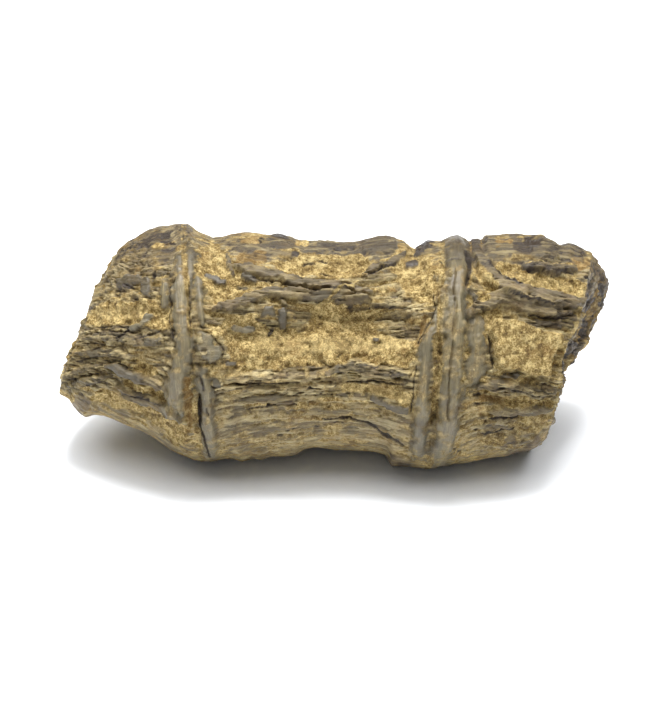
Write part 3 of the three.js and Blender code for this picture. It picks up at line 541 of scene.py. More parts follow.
# On the back, which the picture doesn't show: the same kinds of struts and hollows. Here a path's
# second number is the way round the body in mm, 0 at the back, above it towards the crown.
backForms = [
    ("mixed", 9.0, 0.0, [(-45, 0), (-28, 0)]),
    ("mixed", 5.0, 0.2, [(-22, -16), (40, -16)]),
    ("sand", 2.2, -1.0, [(-40, 6), (-31, 7)]),
    ("sand", 1.8, -0.9, [(-40, -4), (-31, -6)]),
    ("sand", 3.2, -1.6, [(-15, 8), (0, 7.8), (12, 8.5)]),
    ("sand", 3.4, -1.7, [(-15, -3.4), (0, -3.2), (12, -4.4)]),
    ("sand", 2.1, -1.1, [(27, 7.5), (43, 6.8)]),
    ("sand", 2.1, -1.0, [(26, -4.6), (41, -3.8)]),
    ("strut", 1.4, 0.6, [(-40, 11), (-34, 13), (-29, 15)]),
    ("sand", 2.2, -0.7, [(-37, 18), (-31, 19.5)]),
    ("strut", 1.5, 0.8, [(-38, 22), (-33, 23), (-29, 24.5)]),
    ("sand", 2.8, -1.0, [(-16, 19.5), (0, 18.6), (11, 19.5)]),
    ("chip", 1.0, 0.6, [(-10, 19.4), (-8.6, 18.8)]),
    ("strut", 1.6, 1.0, [(-21, 25), (-9, 23.4), (4, 23.2), (16, 25.2)]),
    ("crack", 0.3, -0.6, [(-16, 22.4), (-6, 21.4), (5, 21.6)]),
    ("sand", 2.2, -0.7, [(-15, 28.5), (-2, 27.6), (10, 28.4)]),
    ("sand", 2.2, -0.9, [(27, 18.6), (35, 18), (43, 17.6)]),
    ("strut", 1.5, 0.9, [(25, 24), (34, 22.6), (43, 22)]),
    ("crack", 0.3, -0.5, [(28, 21.6), (35, 20.6), (42, 20)]),
    ("chip", 1.1, 0.6, [(31, 27), (33.5, 27.6)]),
    ("sand", 2.6, -0.8, [(-15, -17), (0, -15.8), (12, -17)]),
    ("strut", 1.5, 0.8, [(-20, -21.5), (-6, -20), (6, -20.2), (15, -21.8)]),
    ("strut", 1.4, 0.7, [(25, -18), (33, -16.5), (39, -16)]),
    ("strut", 1.6, 1.0, [(-44, 1), (-38, 1), (-30, 0)]),
    ("strut", 1.4, 0.9, [(-43, -6), (-36, -9), (-29, -12)]),
    ("strut", 1.6, 1.1, [(-22, 15), (-10, 12.8), (4, 12.5), (18, 15.5)]),
    ("strut", 1.0, 0.5, [(-21, 11.8), (-9, 11.2), (3, 11), (14, 12.4)]),
    ("strut", 1.8, 1.2, [(-22, 1.5), (-8, 3.5), (6, 2.6), (16, 1)]),
    ("crack", 0.3, -0.6, [(-18, 3.6), (-8, 4.6), (3, 4.2)]),
    ("crack", 0.3, -0.6, [(-12, 1.6), (2, 1.6), (11, 0.4)]),
    ("strut", 1.7, 1.0, [(-21, -12), (-8, -9.4), (6, -9.6), (15, -12.5)]),
    ("crack", 0.3, -0.5, [(-17, -9.6), (-6, -8), (6, -8.2)]),
    ("strut", 1.4, 1.0, [(25, 14), (33, 12), (44, 11)]),
    ("strut", 1.6, 1.0, [(24, 1), (33, 2), (44, 2.5)]),
    ("dark", 0.8, 0.3, [(38, 2.6), (46, 2.8)]),
    ("strut", 1.4, 0.9, [(24, -11), (32, -9), (39, -9.5)]),
    ("chip", 1.1, 0.7, [(-6, 9), (-4, 8.4)]),
    ("chip", 0.9, 0.6, [(9, -3), (10.5, -3.6)]),
    ("chip", 1.0, 0.6, [(-36, 6.5), (-34.5, 6)]),
    ("crack", 0.3, -0.5, [(-3, -5.5), (1, -4.6), (4, -5)]),
    ("crack", 0.3, -0.5, [(30, 8), (34, 7.4), (38, 7.8)]),
]


def nearest(path, x, v):
    # the distance from each point to the nearest stretch of the path, how far along the path
    # that is, and the path's whole length
    least, place, run = np.full(len(x), 1e9), np.zeros(len(x)), 0.0
    for (ax, av), (bx, bv) in zip(path[:-1], path[1:]):
        dx, dv = bx - ax, bv - av
        t = np.clip(((x - ax) * dx + (v - av) * dv) / max(dx * dx + dv * dv, 1e-9), 0, 1)
        distance = np.hypot(x - ax - t * dx, v - av - t * dv)
        place = np.where(distance < least, run + t * math.hypot(dx, dv), place)
        least = np.minimum(least, distance)
        run += math.hypot(dx, dv)
    return least, place, run


def insideBy(corners, x, v):
    # how far inside the ring of corners, below 0 outside it: a point is inside when a line from it
    # towards larger x crosses the ring an odd number of times
    inside = np.zeros(len(x), bool)
    ring = corners + corners[:1]
    for (ax, av), (bx, bv) in zip(ring[:-1], ring[1:]):
        crosses = (av > v) != (bv > v)
        at = (bx - ax) * (v - av) / (bv - av if bv != av else 1e-9) + ax
        inside ^= crosses & (x < at)
    edge = nearest(ring, x, v)[0]
    return np.where(inside, edge, -edge)


def drawForms(forms, x, v, wobble, nibble, look, lift):
    # lays each form over the ones before: t is the distance to its path over its half width, its
    # height is rise times a smooth fall from flat at t = 0.8 flat to nothing at t = 1, and its
    # kind's bone, tone and rust take over where it covers
    for kind, half, rise, path in forms:
        k = kinds[kind]
        if kind == "crack":
            half, rise = drawing["crackHalf"] * half, drawing["crackRise"] * rise
        points = np.array(path, float)
        reach = half * 1.3 + 0.2
        low, high = points.min(0) - reach, points.max(0) + reach
        near = np.flatnonzero((x > low[0]) & (x < high[0]) & (v > low[1]) & (v < high[1]))
        if not len(near):
            continue
        distance, place, length = nearest(path, x[near], v[near])
        width = half * (1 + drawing["wobble"] * wobble[near])
        if kind in drawing["tapered"] and length > drawing["fromLength"] * half:
            fromTip = np.minimum(place, length - place)
            width *= mix(drawing["tip"], 1.0, smooth(0, drawing["run"] * half, fromTip))
        t = distance / width
        t += k["ragged"] * nibble[near] * smooth(0.3, 0.9, t)
        cover = smooth(1.05, 0.45 if kind == "rim" else 0.75, t)
        look["height"][near] += lift * rise * smooth(1.0, k["flat"] * 0.8, t)
        if k["bone"] is None:
            look["tone"][near] += k["tone"] * cover
        else:
            look["bone"][near] = mix(look["bone"][near], k["bone"], cover)
            look["tone"][near] = mix(look["tone"][near], k["tone"], cover)
            look["rim"][near] = mix(look["rim"][near], float(kind == "rim"), cover)
        look["rust"][near] = mix(look["rust"][near], k["rust"], cover)


print("forms listed")

# Bone splits along its fibres into splinters with dark cracks between them. Sand is grainy and
# pitted. The sizes are lengths, widths and heights.
boneDetail = {
    "splinter": (5.6, 0.52),
    "rimSplinter": (0.7, 5.0),       # across the rim and along it
    "step": 0.40,                    # from one splinter to the next
    "crackWidth": 0.16,
    "crackDepth": 0.40,
    "fibre": (2.2, 0.20, 0.09),
    "rimFibre": (0.22, 3.2),         # across the rim and along it
    "fold": (9.0, 1.2, 0.50),
    "lift": 0.18,                    # of bone over sand
}
sandDetail = {                       # size and height
    "lump": (2.4, 0.55),
    "grain": (0.95, 0.32),
    "fine": (0.45, 0.12),
    "pit": (1.3, 0.40),
}
swell = (7.0, 0.35)                  # size and height of the slow swells in both
tear = {"streak": 0.38, "patch": 0.34, "fibre": 0.08}       # what tears the bone's edges
shades = {                           # how dark or pale each makes the stone
    # fold: painted shade in the folds' troughs
    "fold": 0.16,
    "outline": 0.30,
    # worn and wornPatch: the lower side darker, worn and partly painted shade, uneven in patches
    "worn": 0.12,
    "wornPatch": 0.22,
    "splinter": 0.16,
    "crack": 0.40,
    "grain": 0.10,
    # pit: painted shade in the sand's pits
    "pit": 0.35,
}
fibreFlow = {                        # in the middle vertebra, the left one and the right one
    "spool": {"middle": -2, "half": 22, "flare": 0.25},
    "fan": {"from": -34, "slope": 0.42},
    "fall": {"from": 28, "run": 20, "slope": 0.16, "tilt": 0.02},
}
edgeWander = {"wide": (2.6, 0.45), "small": (0.8, 0.22)}    # size and reach, of the forms' edges
sides = {
    "front": {"forms": frontForms, "lift": 1.0, "wander": 0.55},
    "back": {"forms": backForms, "lift": 1.1, "wander": 1.0},
}
girthRadius = 20                     # turns an angle into millimetres round the body
# dark: painted shade on the crown, the top of the body, where the overhead light falls most
crown = {"wander": 2.5, "dark": 0.55}
plainBone = 0.56                     # the share of bone where no form is drawn


def fibreHeight(x, v):
    # the height on the sheet with the fibres' spread taken out, so that it is even along a fibre:
    # they flare towards the middle vertebra's rims, v / (1 + flare u squared), fan out from the
    # left tip, v + slope (x - from), and slope down at the right in the same way
    spool, fan, fall = fibreFlow["spool"], fibreFlow["fan"], fibreFlow["fall"]
    u = np.clip((x - spool["middle"]) / spool["half"], -1.1, 1.1)
    even = v / (1 + spool["flare"] * u * u)
    fanned = v + fan["slope"] * (x - fan["from"]) * smooth(0, -6, v)
    fallen = (v + fall["slope"] * np.clip(x - fall["from"], 0, fall["run"]) * smooth(13, 9, v)
              + fall["tilt"] * x)
    return np.where(x < -25, mix(fanned, even, smooth(-30, -25, x)),
                    mix(even, fallen, smooth(20, 27, x)))


def wander(solid, seed):
    # two noises added, the wide one and the small one
    wide, small = edgeWander["wide"], edgeWander["small"]
    return (wide[1] * cloudy(solid, wide[0], seed)
            + small[1] * cloudy(solid, small[0], seed + 1))


def surfaceLook(x, v, w, mid, angle, seed):
    # plain stone, then the front's and the back's forms, mixed where the one gives way to the
    # other, then the sandstone slab and the rims, and last the grain of bone and sand
    solid = np.stack([x, v, w], 1)
    front = smooth(-0.14, 0.10, np.cos(angle))
    upright = np.abs(np.sin(angle))
    wanderX, wanderV = wander(solid, seed + 11), wander(solid, seed + 13)
    wanderV *= 1 + crown["wander"] * upright ** 8       # on the crown the sheet is seen on edge
    wobble = cloudy(solid, 1.8, seed + 15, 2)
    nibble = cloudy(solid, 1.0, seed + 16, 2)
    eye = sheet["eyeDistance"] / (sheet["eyeDistance"] - w)     # nearer parts look larger
    drawnAt = {
        "front": (x * eye, v * eye),
        "back": (x, girthRadius * (math.pi - np.mod(angle, 2 * math.pi))),
    }
    looks = {}
    for name, side in sides.items():
        look = {key: np.zeros(len(x)) for key in ("height", "tone", "rust", "rim")}
        look["bone"] = np.full(len(x), plainBone)
        atX, atV = drawnAt[name]
        drawForms(side["forms"], atX + wanderX * side["wander"], atV + wanderV * side["wander"],
                  wobble, nibble, look, side["lift"])
        looks[name] = look
    look = {key: mix(looks["back"][key], looks["front"][key], front) for key in look}

    bent = sandBlock["wander"]
    inside = insideBy(sandBlock["corners"], x * eye + bent * wanderX, v * eye + bent * wanderV)
    block = smooth(0, sandBlock["bevel"], inside) * front
    look["height"] += sandBlock["rise"] * block
    look["bone"] *= 1 - block
    look["tone"] = mix(look["tone"], sandBlock["tone"], block)

    rimCover = addRims(look, mid, angle, front, upright)
    addGrain(look, solid, mid, angle, eye, (wanderX, wanderV, wobble), rimCover, block, seed)

    # the upper and lower outline already hold what stands out there
    look["height"] *= 1 - 0.8 * upright ** 6
    up = v * math.cos(sheet["elevation"]) + w * math.sin(sheet["elevation"])
    look["height"] *= 1 - 0.75 * smooth(19.5, 22.5, up)
    return look


def addRims(look, mid, angle, front, upright):
    # bell curves, exp(-x squared), before and after each seam, less one at the seam; they are low
    # in front, where the rims are drawn as forms; gives the share of rim
    cover = np.zeros(len(mid))
    keep = (1 - (1 - rims["frontShare"]) * front) * (1 - upright ** 8)
    for seam in seams.values():
        off = mid - seamMid(seam, angle)
        before = np.exp(-((off + seam["before"]) / rims["width"]) ** 2)
        after = np.exp(-((off - seam["after"]) / rims["width"]) ** 2)
        dip = np.exp(-(off / rims["seamWidth"]) ** 2)
        look["height"] += keep * (seam["riseBefore"] * before + seam["riseAfter"] * after
                                  - rims["seamDepth"] * dip)
        either = np.maximum(before, after)
        cover = np.maximum(cover, either)
        look["bone"] = np.maximum(look["bone"], (1 - front) * smooth(0.25, 0.5, either))
        look["bone"] *= 1 - 0.9 * (1 - 0.4 * front) * smooth(0.5, 0.9, dip)
    return mix(smooth(0.2, 0.6, cover), look["rim"], front)


def addGrain(look, solid, mid, angle, eye, wanders, rimCover, block, seed):
    # splinters are cells stretched along the backbone, or round it on the rims; fibres are noise
    # stretched the same way, and folds are 1 less twice the size of such noise; stone is bone
    # where bone + streaks + patches is over about a half; sand is lumps, grains and pits
    x, v, w = solid.T
    wanderX, wanderV, wobble = wanders
    roundX, roundY = girthRadius * np.cos(angle), girthRadius * np.sin(angle)
    t = fibreHeight(x * eye, v * eye)
    length, width = boneDetail["splinter"]
    rimAcross, rimAlong = boneDetail["rimSplinter"]
    longWay = (np.stack([x / length, t / width, w / (width * 1.6)], 1)
               + np.stack([0.2 * wanderX, 0.35 * wanderV, 0.35 * wobble], 1))
    roundWay = np.stack([(mid + 0.25 * wanderX) / rimAcross, roundX / rimAlong,
                         roundY / rimAlong], 1)
    fibreLength, fibreWidth, fibreRise = boneDetail["fibre"]
    fibreAcross, fibreAlong = boneDetail["rimFibre"]
    grain = mix(np.stack([x / fibreLength, t / fibreWidth, w / (fibreWidth * 1.5)], 1),
                np.stack([mid / fibreAcross, roundX / fibreAlong, roundY / fibreAlong], 1),
                rimCover[:, None])
    gap, own = crackle(longWay, seed + 21)[1:]
    rimGap, rimOwn = crackle(roundWay, seed + 22)[1:]
    gap, own = mix(gap, rimGap * 0.8, rimCover), mix(own, rimOwn, rimCover)
    streak = mix(lattice(longWay * 1.3 + 5, seed + 23), lattice(roundWay * 1.2, seed + 24),
                 rimCover)
    fibre = lattice(grain, seed + 25)
    foldLength, foldWidth, foldRise = boneDetail["fold"]
    foldWay = np.stack([x / foldLength, t / foldWidth, w / foldWidth / 1.5], 1)
    foldBend = 0.3 * np.stack([wobble, wanderX, wanderV], 1)
    folds = 1 - 2 * np.abs(lattice(foldWay + foldBend, seed + 27))
    smallFolds = 1 - 2 * np.abs(lattice(foldWay * [1.7, 2.3, 2.25], seed + 29))
    folds = 0.68 * folds + 0.32 * smallFolds

    # torn edges, dust on the bone, and the worn underside, which is also painted darker as shade
    patch = cloudy(solid, 3.4, seed + 26)
    between = np.clip(1 - np.abs(2 * look["bone"] - 1) ** 3, 0.12, 1)
    torn = (look["bone"] + (tear["streak"] * streak + tear["patch"] * patch) * between
            + tear["fibre"] * fibre)
    clean = np.maximum(smooth(0.80, 1.0, look["bone"]), rimCover)
    plain = smooth(1.10, 1.25, look["bone"])
    worn = smooth(-7.0, -12.0, v)
    dust = smooth(0.05 - 0.2 * worn - 0.1 * rimCover, 0.75, cloudy(solid, 1.1, seed + 28))
    dust = np.minimum(dust * (1 - 0.7 * clean + 0.3 * rimCover), 1)
    bone = smooth(0.28, 0.72, torn) * (1 - (0.55 + 0.2 * rimCover) * dust)
    outlined = np.exp(-((torn - 0.42) / 0.07) ** 2) * smooth(-0.3, 0.4, streak + wobble)
    split = (np.exp(-(gap / boneDetail["crackWidth"]) ** 2)
             * smooth(0.2, 0.8, 0.5 + 0.5 * patch + 0.5 * streak)
             * (1 - 0.65 * rimCover) * (1 - 0.8 * plain) * (1 - 0.6 * worn))

    stepped = (boneDetail["step"] * (own - 0.5) - boneDetail["crackDepth"] * split
               + fibreRise * fibre) * (1 - 0.5 * plain)
    folded = foldRise * (folds - 0.4) * (1 - 0.6 * plain) * (1 - 0.4 * clean)
    boneHeight = (stepped + folded) * (1 - 0.8 * rimCover) * (1 - 0.6 * worn)
    lump = cloudy(solid, sandDetail["lump"][0], seed + 31)
    grains = cloudy(solid, sandDetail["grain"][0], seed + 32, 2)
    fine = lattice(solid / sandDetail["fine"][0], seed + 33)
    pitNear, _, pitOwn = crackle(solid / sandDetail["pit"][0], seed + 34)
    pit = smooth(0.34, 0.12, pitNear) * (pitOwn > 0.55)
    sandHeight = (sandDetail["lump"][1] * lump + sandDetail["grain"][1] * grains
                  + sandDetail["fine"][1] * fine - sandDetail["pit"][1] * pit)
    sandHeight *= 1 - sandBlock["calm"] * block
    look["height"] += (mix(sandHeight, boneHeight, bone) + boneDetail["lift"] * (bone - 0.5)
                       + swell[1] * cloudy(solid, swell[0], seed + 35, 2))

    sand = 1 - bone
    look["bone"] = bone
    look["own"] = mix(mix(own - 0.25 * clean - 0.20 * rimCover, 0.15, 0.5 * rimCover), -0.05, plain)
    # painted shade in the troughs of the folds
    look["tone"] -= (shades["fold"] * smooth(0.15, -0.45, folds) * bone * (1 - rimCover)
                     * (1 - 0.5 * worn))
    look["tone"] -= shades["outline"] * outlined
    # darker towards the bottom: the worn underside, and painted shade on the lower side, which the
    # overhead light reaches less; uneven in patches
    look["tone"] -= worn * (shades["worn"] + shades["wornPatch"] * smooth(-0.1, 0.7, patch))
    # painted shade: the crown, the top of the body, darkened against the overhead light
    look["tone"] -= crown["dark"] * smooth(0.45, 0.95, np.sin(angle)) * (0.40 + 0.60 * bone)
    look["tone"] += bone * (shades["splinter"] * (own - 0.5) - shades["crack"] * split)
    # the sand's grains vary its tone, and its pits are painted darker as shade
    look["tone"] += sand * (shades["grain"] * grains - shades["pit"] * pit)
    stained = 0.5 * smooth(0.35, 0.9, cloudy(solid, 3.2, seed + 36)) * (1 - 0.6 * bone)
    look["rust"] = np.clip(look["rust"] + stained, 0, 1)
    look["polish"] = np.clip(rimCover + plain, 0, 1) * bone
    look["grain"] = grain


def sideGrid(mid, angles, seed):
    # the plain body pushed out along its own normal, the cross product of a step onward and a
    # step round, by the look's height
    angle = np.broadcast_to(angles, mid.shape)
    step, turn = 0.4, 0.02
    plain = bodyPoint(mid, angle)
    onward = bodyPoint(mid + step, angle) - bodyPoint(mid - step, angle)
    roundabout = bodyPoint(mid, angle + turn) - bodyPoint(mid, angle - turn)
    normal = np.cross(onward, roundabout)
    normal /= np.linalg.norm(normal, axis=-1, keepdims=True)
    look = surfaceLook(*plain.reshape(-1, 3).T, mid.ravel(), angle.ravel(), seed)
    return plain + normal * look["height"].reshape(mid.shape)[..., None], look


breakDetail = {
    "shake": 2.2,                    # size of the noise that bends the cells
    "chunk": (2.3, 0.9),             # size and height
    "splinter": (1.5, 2.7, 0.45),    # size up the face and across it, and height
    "crack": (0.10, 0.30),           # width and depth
    "swell": (5, 0.8),
    "grit": (1.3, 0.45),
    "spokes": 7,                     # of bone, from the middle outwards
}


def endGrid(end, ring, ringLook, shares, angles, seed):
    # a broken end face: rings drawn in from the side's last ring to the middle, standing out by
    # the end's own profile and a bulge of 1 less the share's fourth power, with chunks and
    # splinters, cells round random points, that fade out at the edge, where the look gives way to
    # the ring's own
    share, angle = np.meshgrid(shares, angles, indexing="ij")
    flat = bodyPoint(np.full_like(angle, end["mid"]), angle, share)
    edge = bodyPoint(np.full_like(angles, end["mid"]), angles)
    centre = bodyPoint(np.array([end["mid"]]), np.array([0.0]), 0.0)[0]
    points = centre + (ring[None] - centre) * share[..., None]
    out = (breakOut(end, flat[..., 1], flat[..., 2])
           - share * breakOut(end, edge[:, 1], edge[:, 2])[None])
    v, w, s = flat[..., 1].ravel(), flat[..., 2].ravel(), share.ravel()
    solid = np.stack([np.full_like(v, end["mid"]), v, w], 1)
    shake = np.stack([cloudy(solid, breakDetail["shake"], seed + k) for k in (1, 2, 3)], 1)
    chunkSize, chunkStep = breakDetail["chunk"]
    upSize, acrossSize, splinterStep = breakDetail["splinter"]
    crack, swells, grit = breakDetail["crack"], breakDetail["swell"], breakDetail["grit"]
    chunk = crackle(solid / chunkSize + 0.4 * shake, seed + 4)[2]
    cells = np.stack([solid[:, 0], v / upSize, w / acrossSize], 1) + 0.8 * shake
    gap, own = crackle(cells, seed + 5)[1:]
    rough = (swells[1] * cloudy(solid, swells[0], seed + 6) + chunkStep * (chunk - 0.5)
             + splinterStep * (own - 0.5) - crack[1] * np.exp(-(gap / crack[0]) ** 2)
             + grit[1] * cloudy(solid, grit[0], seed + 7, 3))
    fade = smooth(1.0, 0.90, share)
    points[..., 0] += np.sign(end["mid"]) * (out + end["bulge"] * (1 - share ** 4)
                                             + rough.reshape(share.shape) * fade)
    spoke = np.cos(angle.ravel() * breakDetail["spokes"] + 2.5 * shake[:, 0]) * smooth(0.1, 0.4, s)
    bone = smooth(0.42, 0.58, 0.30 + 0.9 * smooth(0.72, 0.95, s) + 0.35 * spoke
                  + end["boneMore"] + 0.35 * cloudy(solid, 2.0, seed + 8))
    split = np.exp(-(gap / 0.14) ** 2)
    # the end's tone: on the right end partly painted shade on the recessed break face
    tone = (end["tone"] * (0.35 + 0.65 * bone) + 0.22 * (own - 0.5) + 0.3 * (chunk - 0.5)
            - 0.4 * split)
    rust = np.clip(end["rust"] + 0.5 * cloudy(solid, 3, seed + 9), 0, 1)
    pull = 1 - smooth(0.86, 1.0, s)
    look = {key: mix(np.tile(ringLook[key], len(shares)), face, pull)
            for key, face in (("bone", bone), ("tone", tone), ("rust", rust))}
    look["own"] = own
    look["polish"] = np.zeros(len(s))
    look["grain"] = np.stack([solid[:, 0], v / 0.25, w / 0.9], 1)
    return points, look


lookKeys = ("bone", "tone", "rust", "own", "polish")
resting = {"wide": (1.6, 0.22), "fine": (0.4, 0.02), "seed": 77}    # size and height
sharpAngle = math.radians(72)


def joinLooks(*looks):
    # one after another, in the order of their rings
    return {key: np.concatenate([look[key] for look in looks]) for key in (*lookKeys, "grain")}


def closedMesh(name, rings, look, finish, node):
    # quads between neighbouring rings, round and round, and a fan to a middle point at each end
    count, perRing = rings.shape[:2]
    ends = np.stack([rings[0].mean(0), rings[-1].mean(0)])
    placed = toFrame(*np.concatenate([rings.reshape(-1, 3), ends]).T)
    # nothing reaches below the table; the worn patch that rests on it stays a little rough
    wide, fine, seed = resting["wide"], resting["fine"], resting["seed"]
    worn = (wide[1] * np.clip(cloudy(placed, wide[0], seed), 0, 1)
            + fine[1] * np.abs(lattice(placed / fine[0], seed + 1)))
    placed[:, 2] = np.maximum(placed[:, 2], worn)
    j = np.arange(perRing)
    k = (j + 1) % perRing
    row = np.arange(count - 1)[:, None] * perRing
    quads = np.stack([row + j, row + perRing + j, row + perRing + k, row + k], -1).reshape(-1, 4)
    first, last = count * perRing, count * perRing + 1
    lastRing = (count - 1) * perRing
    fans = np.concatenate([np.stack([np.full(perRing, first), j, k], 1),
                           np.stack([np.full(perRing, last), lastRing + k, lastRing + j], 1)])
    corners = np.concatenate([quads.ravel(), fans.ravel()])
    starts = np.concatenate([np.arange(len(quads)) * 4, quads.size + np.arange(len(fans)) * 3])
    mesh = bpy.data.meshes.new(name)
    mesh.vertices.add(len(placed))
    mesh.vertices.foreach_set("co", (placed * mm).astype(np.float32).ravel())
    mesh.loops.add(len(corners))
    mesh.loops.foreach_set("vertex_index", corners.astype(np.int32))
    mesh.polygons.add(len(starts))
    mesh.polygons.foreach_set("loop_start", starts.astype(np.int32))
    mesh.update(calc_edges=True)
    mesh.validate()
    mesh.polygons.foreach_set("use_smooth", np.ones(len(mesh.polygons), bool))
    mesh.set_sharp_from_angle(angle=sharpAngle)
    for key in (*lookKeys, "grain"):
        values = np.concatenate([look[key], look[key][[0, -1]]]).astype(np.float32)
        kind, socket = ("FLOAT_VECTOR", "vector") if key == "grain" else ("FLOAT", "value")
        mesh.attributes.new(key, kind, "POINT").data.foreach_set(socket, values.ravel())
    mesh.materials.append(finish)
    piece = bpy.data.objects.new(name, mesh)
    bpy.context.scene.collection.objects.link(piece)
    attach(piece, "root")
    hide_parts(node)


print("surfaces ready")

stoneColours = {                 # 0 to 255, as a screen shows them
    "sandPale": (226, 202, 140),
    "sandMid": (152, 126, 69),
    "sandDark": (84, 62, 24),
    "bonePale": (198, 182, 136),
    "boneMid": (150, 133, 90),
    "boneDark": (86, 70, 40),
    # crack: the colour that all darkening goes towards, real cracks and painted shade alike
    "crack": (44, 32, 16),
    "rust": (146, 108, 54),
    "grey": (114, 108, 86),
    "brown": (122, 97, 58),
    "smoothGrey": (116, 111, 90),
}
stoneRamps = {                   # where on the noise each colour lies
    "sand": ((0.41, "sandDark"), (0.51, "sandMid"), (0.605, "sandPale")),
    "bone": ((0.34, "boneDark"), (0.50, "boneMid"), (0.68, "bonePale")),
}
stoneNoise = {                   # cells to the millimetre, detail, roughness
    "speck": (3.4, 3, 0.8),
    "clump": (1.1, 2, 0.6),
    "cloud": (0.35, 3, 0.55),
    "thread": (1.0, 3, 0.6),
    "bump": (4.0, 3, 0.8),
}
# the most that each colours the stone
tinting = {"grey": 0.6, "brown": 0.6, "smoothGrey": 0.50, "rust": 0.5, "line": 0.55, "speck": 0.6}


def linear(rgb):
    # from screen numbers to the light that the shader works with: ((c + 0.055) / 1.055) to the 2.4
    c = np.array(rgb, float) / 255
    return [*np.where(c <= 0.04045, c / 12.92, ((c + 0.055) / 1.055) ** 2.4), 1.0]


def stone(key):
    # the light of a named colour
    return linear(stoneColours[key])


def fossilFinish(name, warmth):
    # sand and bone each run through three colours by their own noise, and the bone share mixes
    # them; then rust, cracks and pale spots go over, and the roughness and the fine bumps follow
    # the same noise
    finish = bpy.data.materials.new(name)
    finish.use_nodes = True
    nodes, links = finish.node_tree.nodes, finish.node_tree.links
    nodes.clear()

    def node(kind, **settings):
        made = nodes.new(kind)
        for key, value in settings.items():
            setattr(made, key, value)
        return made

    def attribute(key):
        return node("ShaderNodeAttribute", attribute_name=key)

    def maths(kind, a, b):
        made = node("ShaderNodeMath", operation=kind)
        for socket, value in zip(made.inputs, (a, b)):
            if isinstance(value, (int, float)):
                socket.default_value = value
            else:
                links.new(value, socket)
        return made.outputs[0]

    def times(a, b):
        return maths("MULTIPLY", a, b)

    def plus(a, b):
        return maths("ADD", a, b)

    def minus(a, b):
        return maths("SUBTRACT", a, b)

    def noise(vector, key):
        made = node("ShaderNodeTexNoise")
        for socket, value in zip(("Scale", "Detail", "Roughness"), stoneNoise[key]):
            made.inputs[socket].default_value = value
        links.new(vector, made.inputs["Vector"])
        return made.outputs["Fac"]

    def ramp(value, stops):
        made = node("ShaderNodeValToRGB")
        elements = made.color_ramp.elements
        while len(elements) < len(stops):
            elements.new(0.5)
        for element, (position, key) in zip(elements, stops):
            element.position = position
            element.color = stone(key)
        links.new(value, made.inputs["Fac"])
        return made.outputs["Color"]

    def blend(share, a, b, mode="MIX"):
        made = node("ShaderNodeMix", data_type="RGBA", blend_type=mode)
        for socket, value in ((made.inputs[0], share), (made.inputs[6], a), (made.inputs[7], b)):
            if isinstance(value, (int, float, list, tuple)):
                socket.default_value = value
            else:
                links.new(value, socket)
        return made.outputs[2]

    def clipped(value, lo, hi):
        made = node("ShaderNodeMapRange")
        made.inputs["From Min"].default_value = lo
        made.inputs["From Max"].default_value = hi
        links.new(value, made.inputs["Value"])
        return made.outputs["Result"]

    place = node("ShaderNodeTexCoord").outputs["Object"]
    inMillimetres = node("ShaderNodeVectorMath", operation="SCALE")
    inMillimetres.inputs["Scale"].default_value = 1000
    links.new(place, inMillimetres.inputs[0])
    solid = inMillimetres.outputs[0]
    grain = attribute("grain").outputs["Vector"]
    bone, tone = attribute("bone").outputs["Fac"], attribute("tone").outputs["Fac"]
    rust, own = attribute("rust").outputs["Fac"], attribute("own").outputs["Fac"]
    polish = attribute("polish").outputs["Fac"]

    speck, clump, cloud = (noise(solid, key) for key in ("speck", "clump", "cloud"))
    thread = noise(grain, "thread")
    sandMix = plus(times(speck, 0.50), plus(times(clump, 0.32), times(cloud, 0.22)))
    boneMix = plus(times(thread, 0.42), plus(times(own, 0.30), times(speck, 0.27)))
    sand, boneColour = ramp(sandMix, stoneRamps["sand"]), ramp(boneMix, stoneRamps["bone"])
    # some splinters are greyer and some browner than the rest
    greyer, browner = clipped(own, 0.35, -0.15), clipped(cloud, 0.5, 0.75)
    boneColour = blend(times(greyer, tinting["grey"]), boneColour, stone("grey"))
    boneColour = blend(times(browner, tinting["brown"]), boneColour, stone("brown"))
    boneColour = blend(times(polish, tinting["smoothGrey"]), boneColour, stone("smoothGrey"))
    colour = blend(bone, sand, boneColour)
    colour = blend(times(rust, tinting["rust"]), colour, stone("rust"))
    # fine dark lines where the thread noise crosses its middle, on bone only
    middle = maths("ABSOLUTE", minus(thread, 0.5), 0.0)
    line = times(minus(1.0, clipped(middle, 0.006, 0.04)), times(bone, tinting["line"]))
    # the tone's darkening: real cracks and dark bone, and painted shade (the crown, the folds'
    # troughs, the pits, the lower side, the right end face)
    shade = plus(times(tone, -1.0), times(minus(speck, 0.5), tinting["speck"]))
    darkness = maths("MAXIMUM", clipped(shade, 0.05, 1.0), line)
    colour = blend(darkness, colour, stone("crack"))
    # pale where the tone is above 0: pale stone and sand, and one painted glint
    colour = blend(clipped(tone, 0.05, 1.6), colour, stone("sandPale"))
    tint = blend(1.0, colour, linear(warmth), "MULTIPLY")

    rough = plus(times(bone, -0.34), plus(times(speck, 0.2), 0.72))
    rough = minus(rough, times(polish, 0.14))
    bumps = plus(times(noise(solid, "bump"), minus(1.5, bone)), times(thread, 0.8))
    bumps = times(bumps, minus(1.0, times(polish, 0.55)))
    bump = node("ShaderNodeBump")
    bump.inputs["Strength"].default_value = 1.0
    bump.inputs["Distance"].default_value = 0.3 * mm
    links.new(bumps, bump.inputs["Height"])

    shader = node("ShaderNodeBsdfPrincipled")
    shader.inputs["IOR"].default_value = 1.5
    shader.inputs["Specular IOR Level"].default_value = 0.5
    links.new(tint, shader.inputs["Base Color"])
    links.new(rough, shader.inputs["Roughness"])
    links.new(bump.outputs["Normal"], shader.inputs["Normal"])
    links.new(shader.outputs[0], node("ShaderNodeOutputMaterial").inputs["Surface"])
    return finish


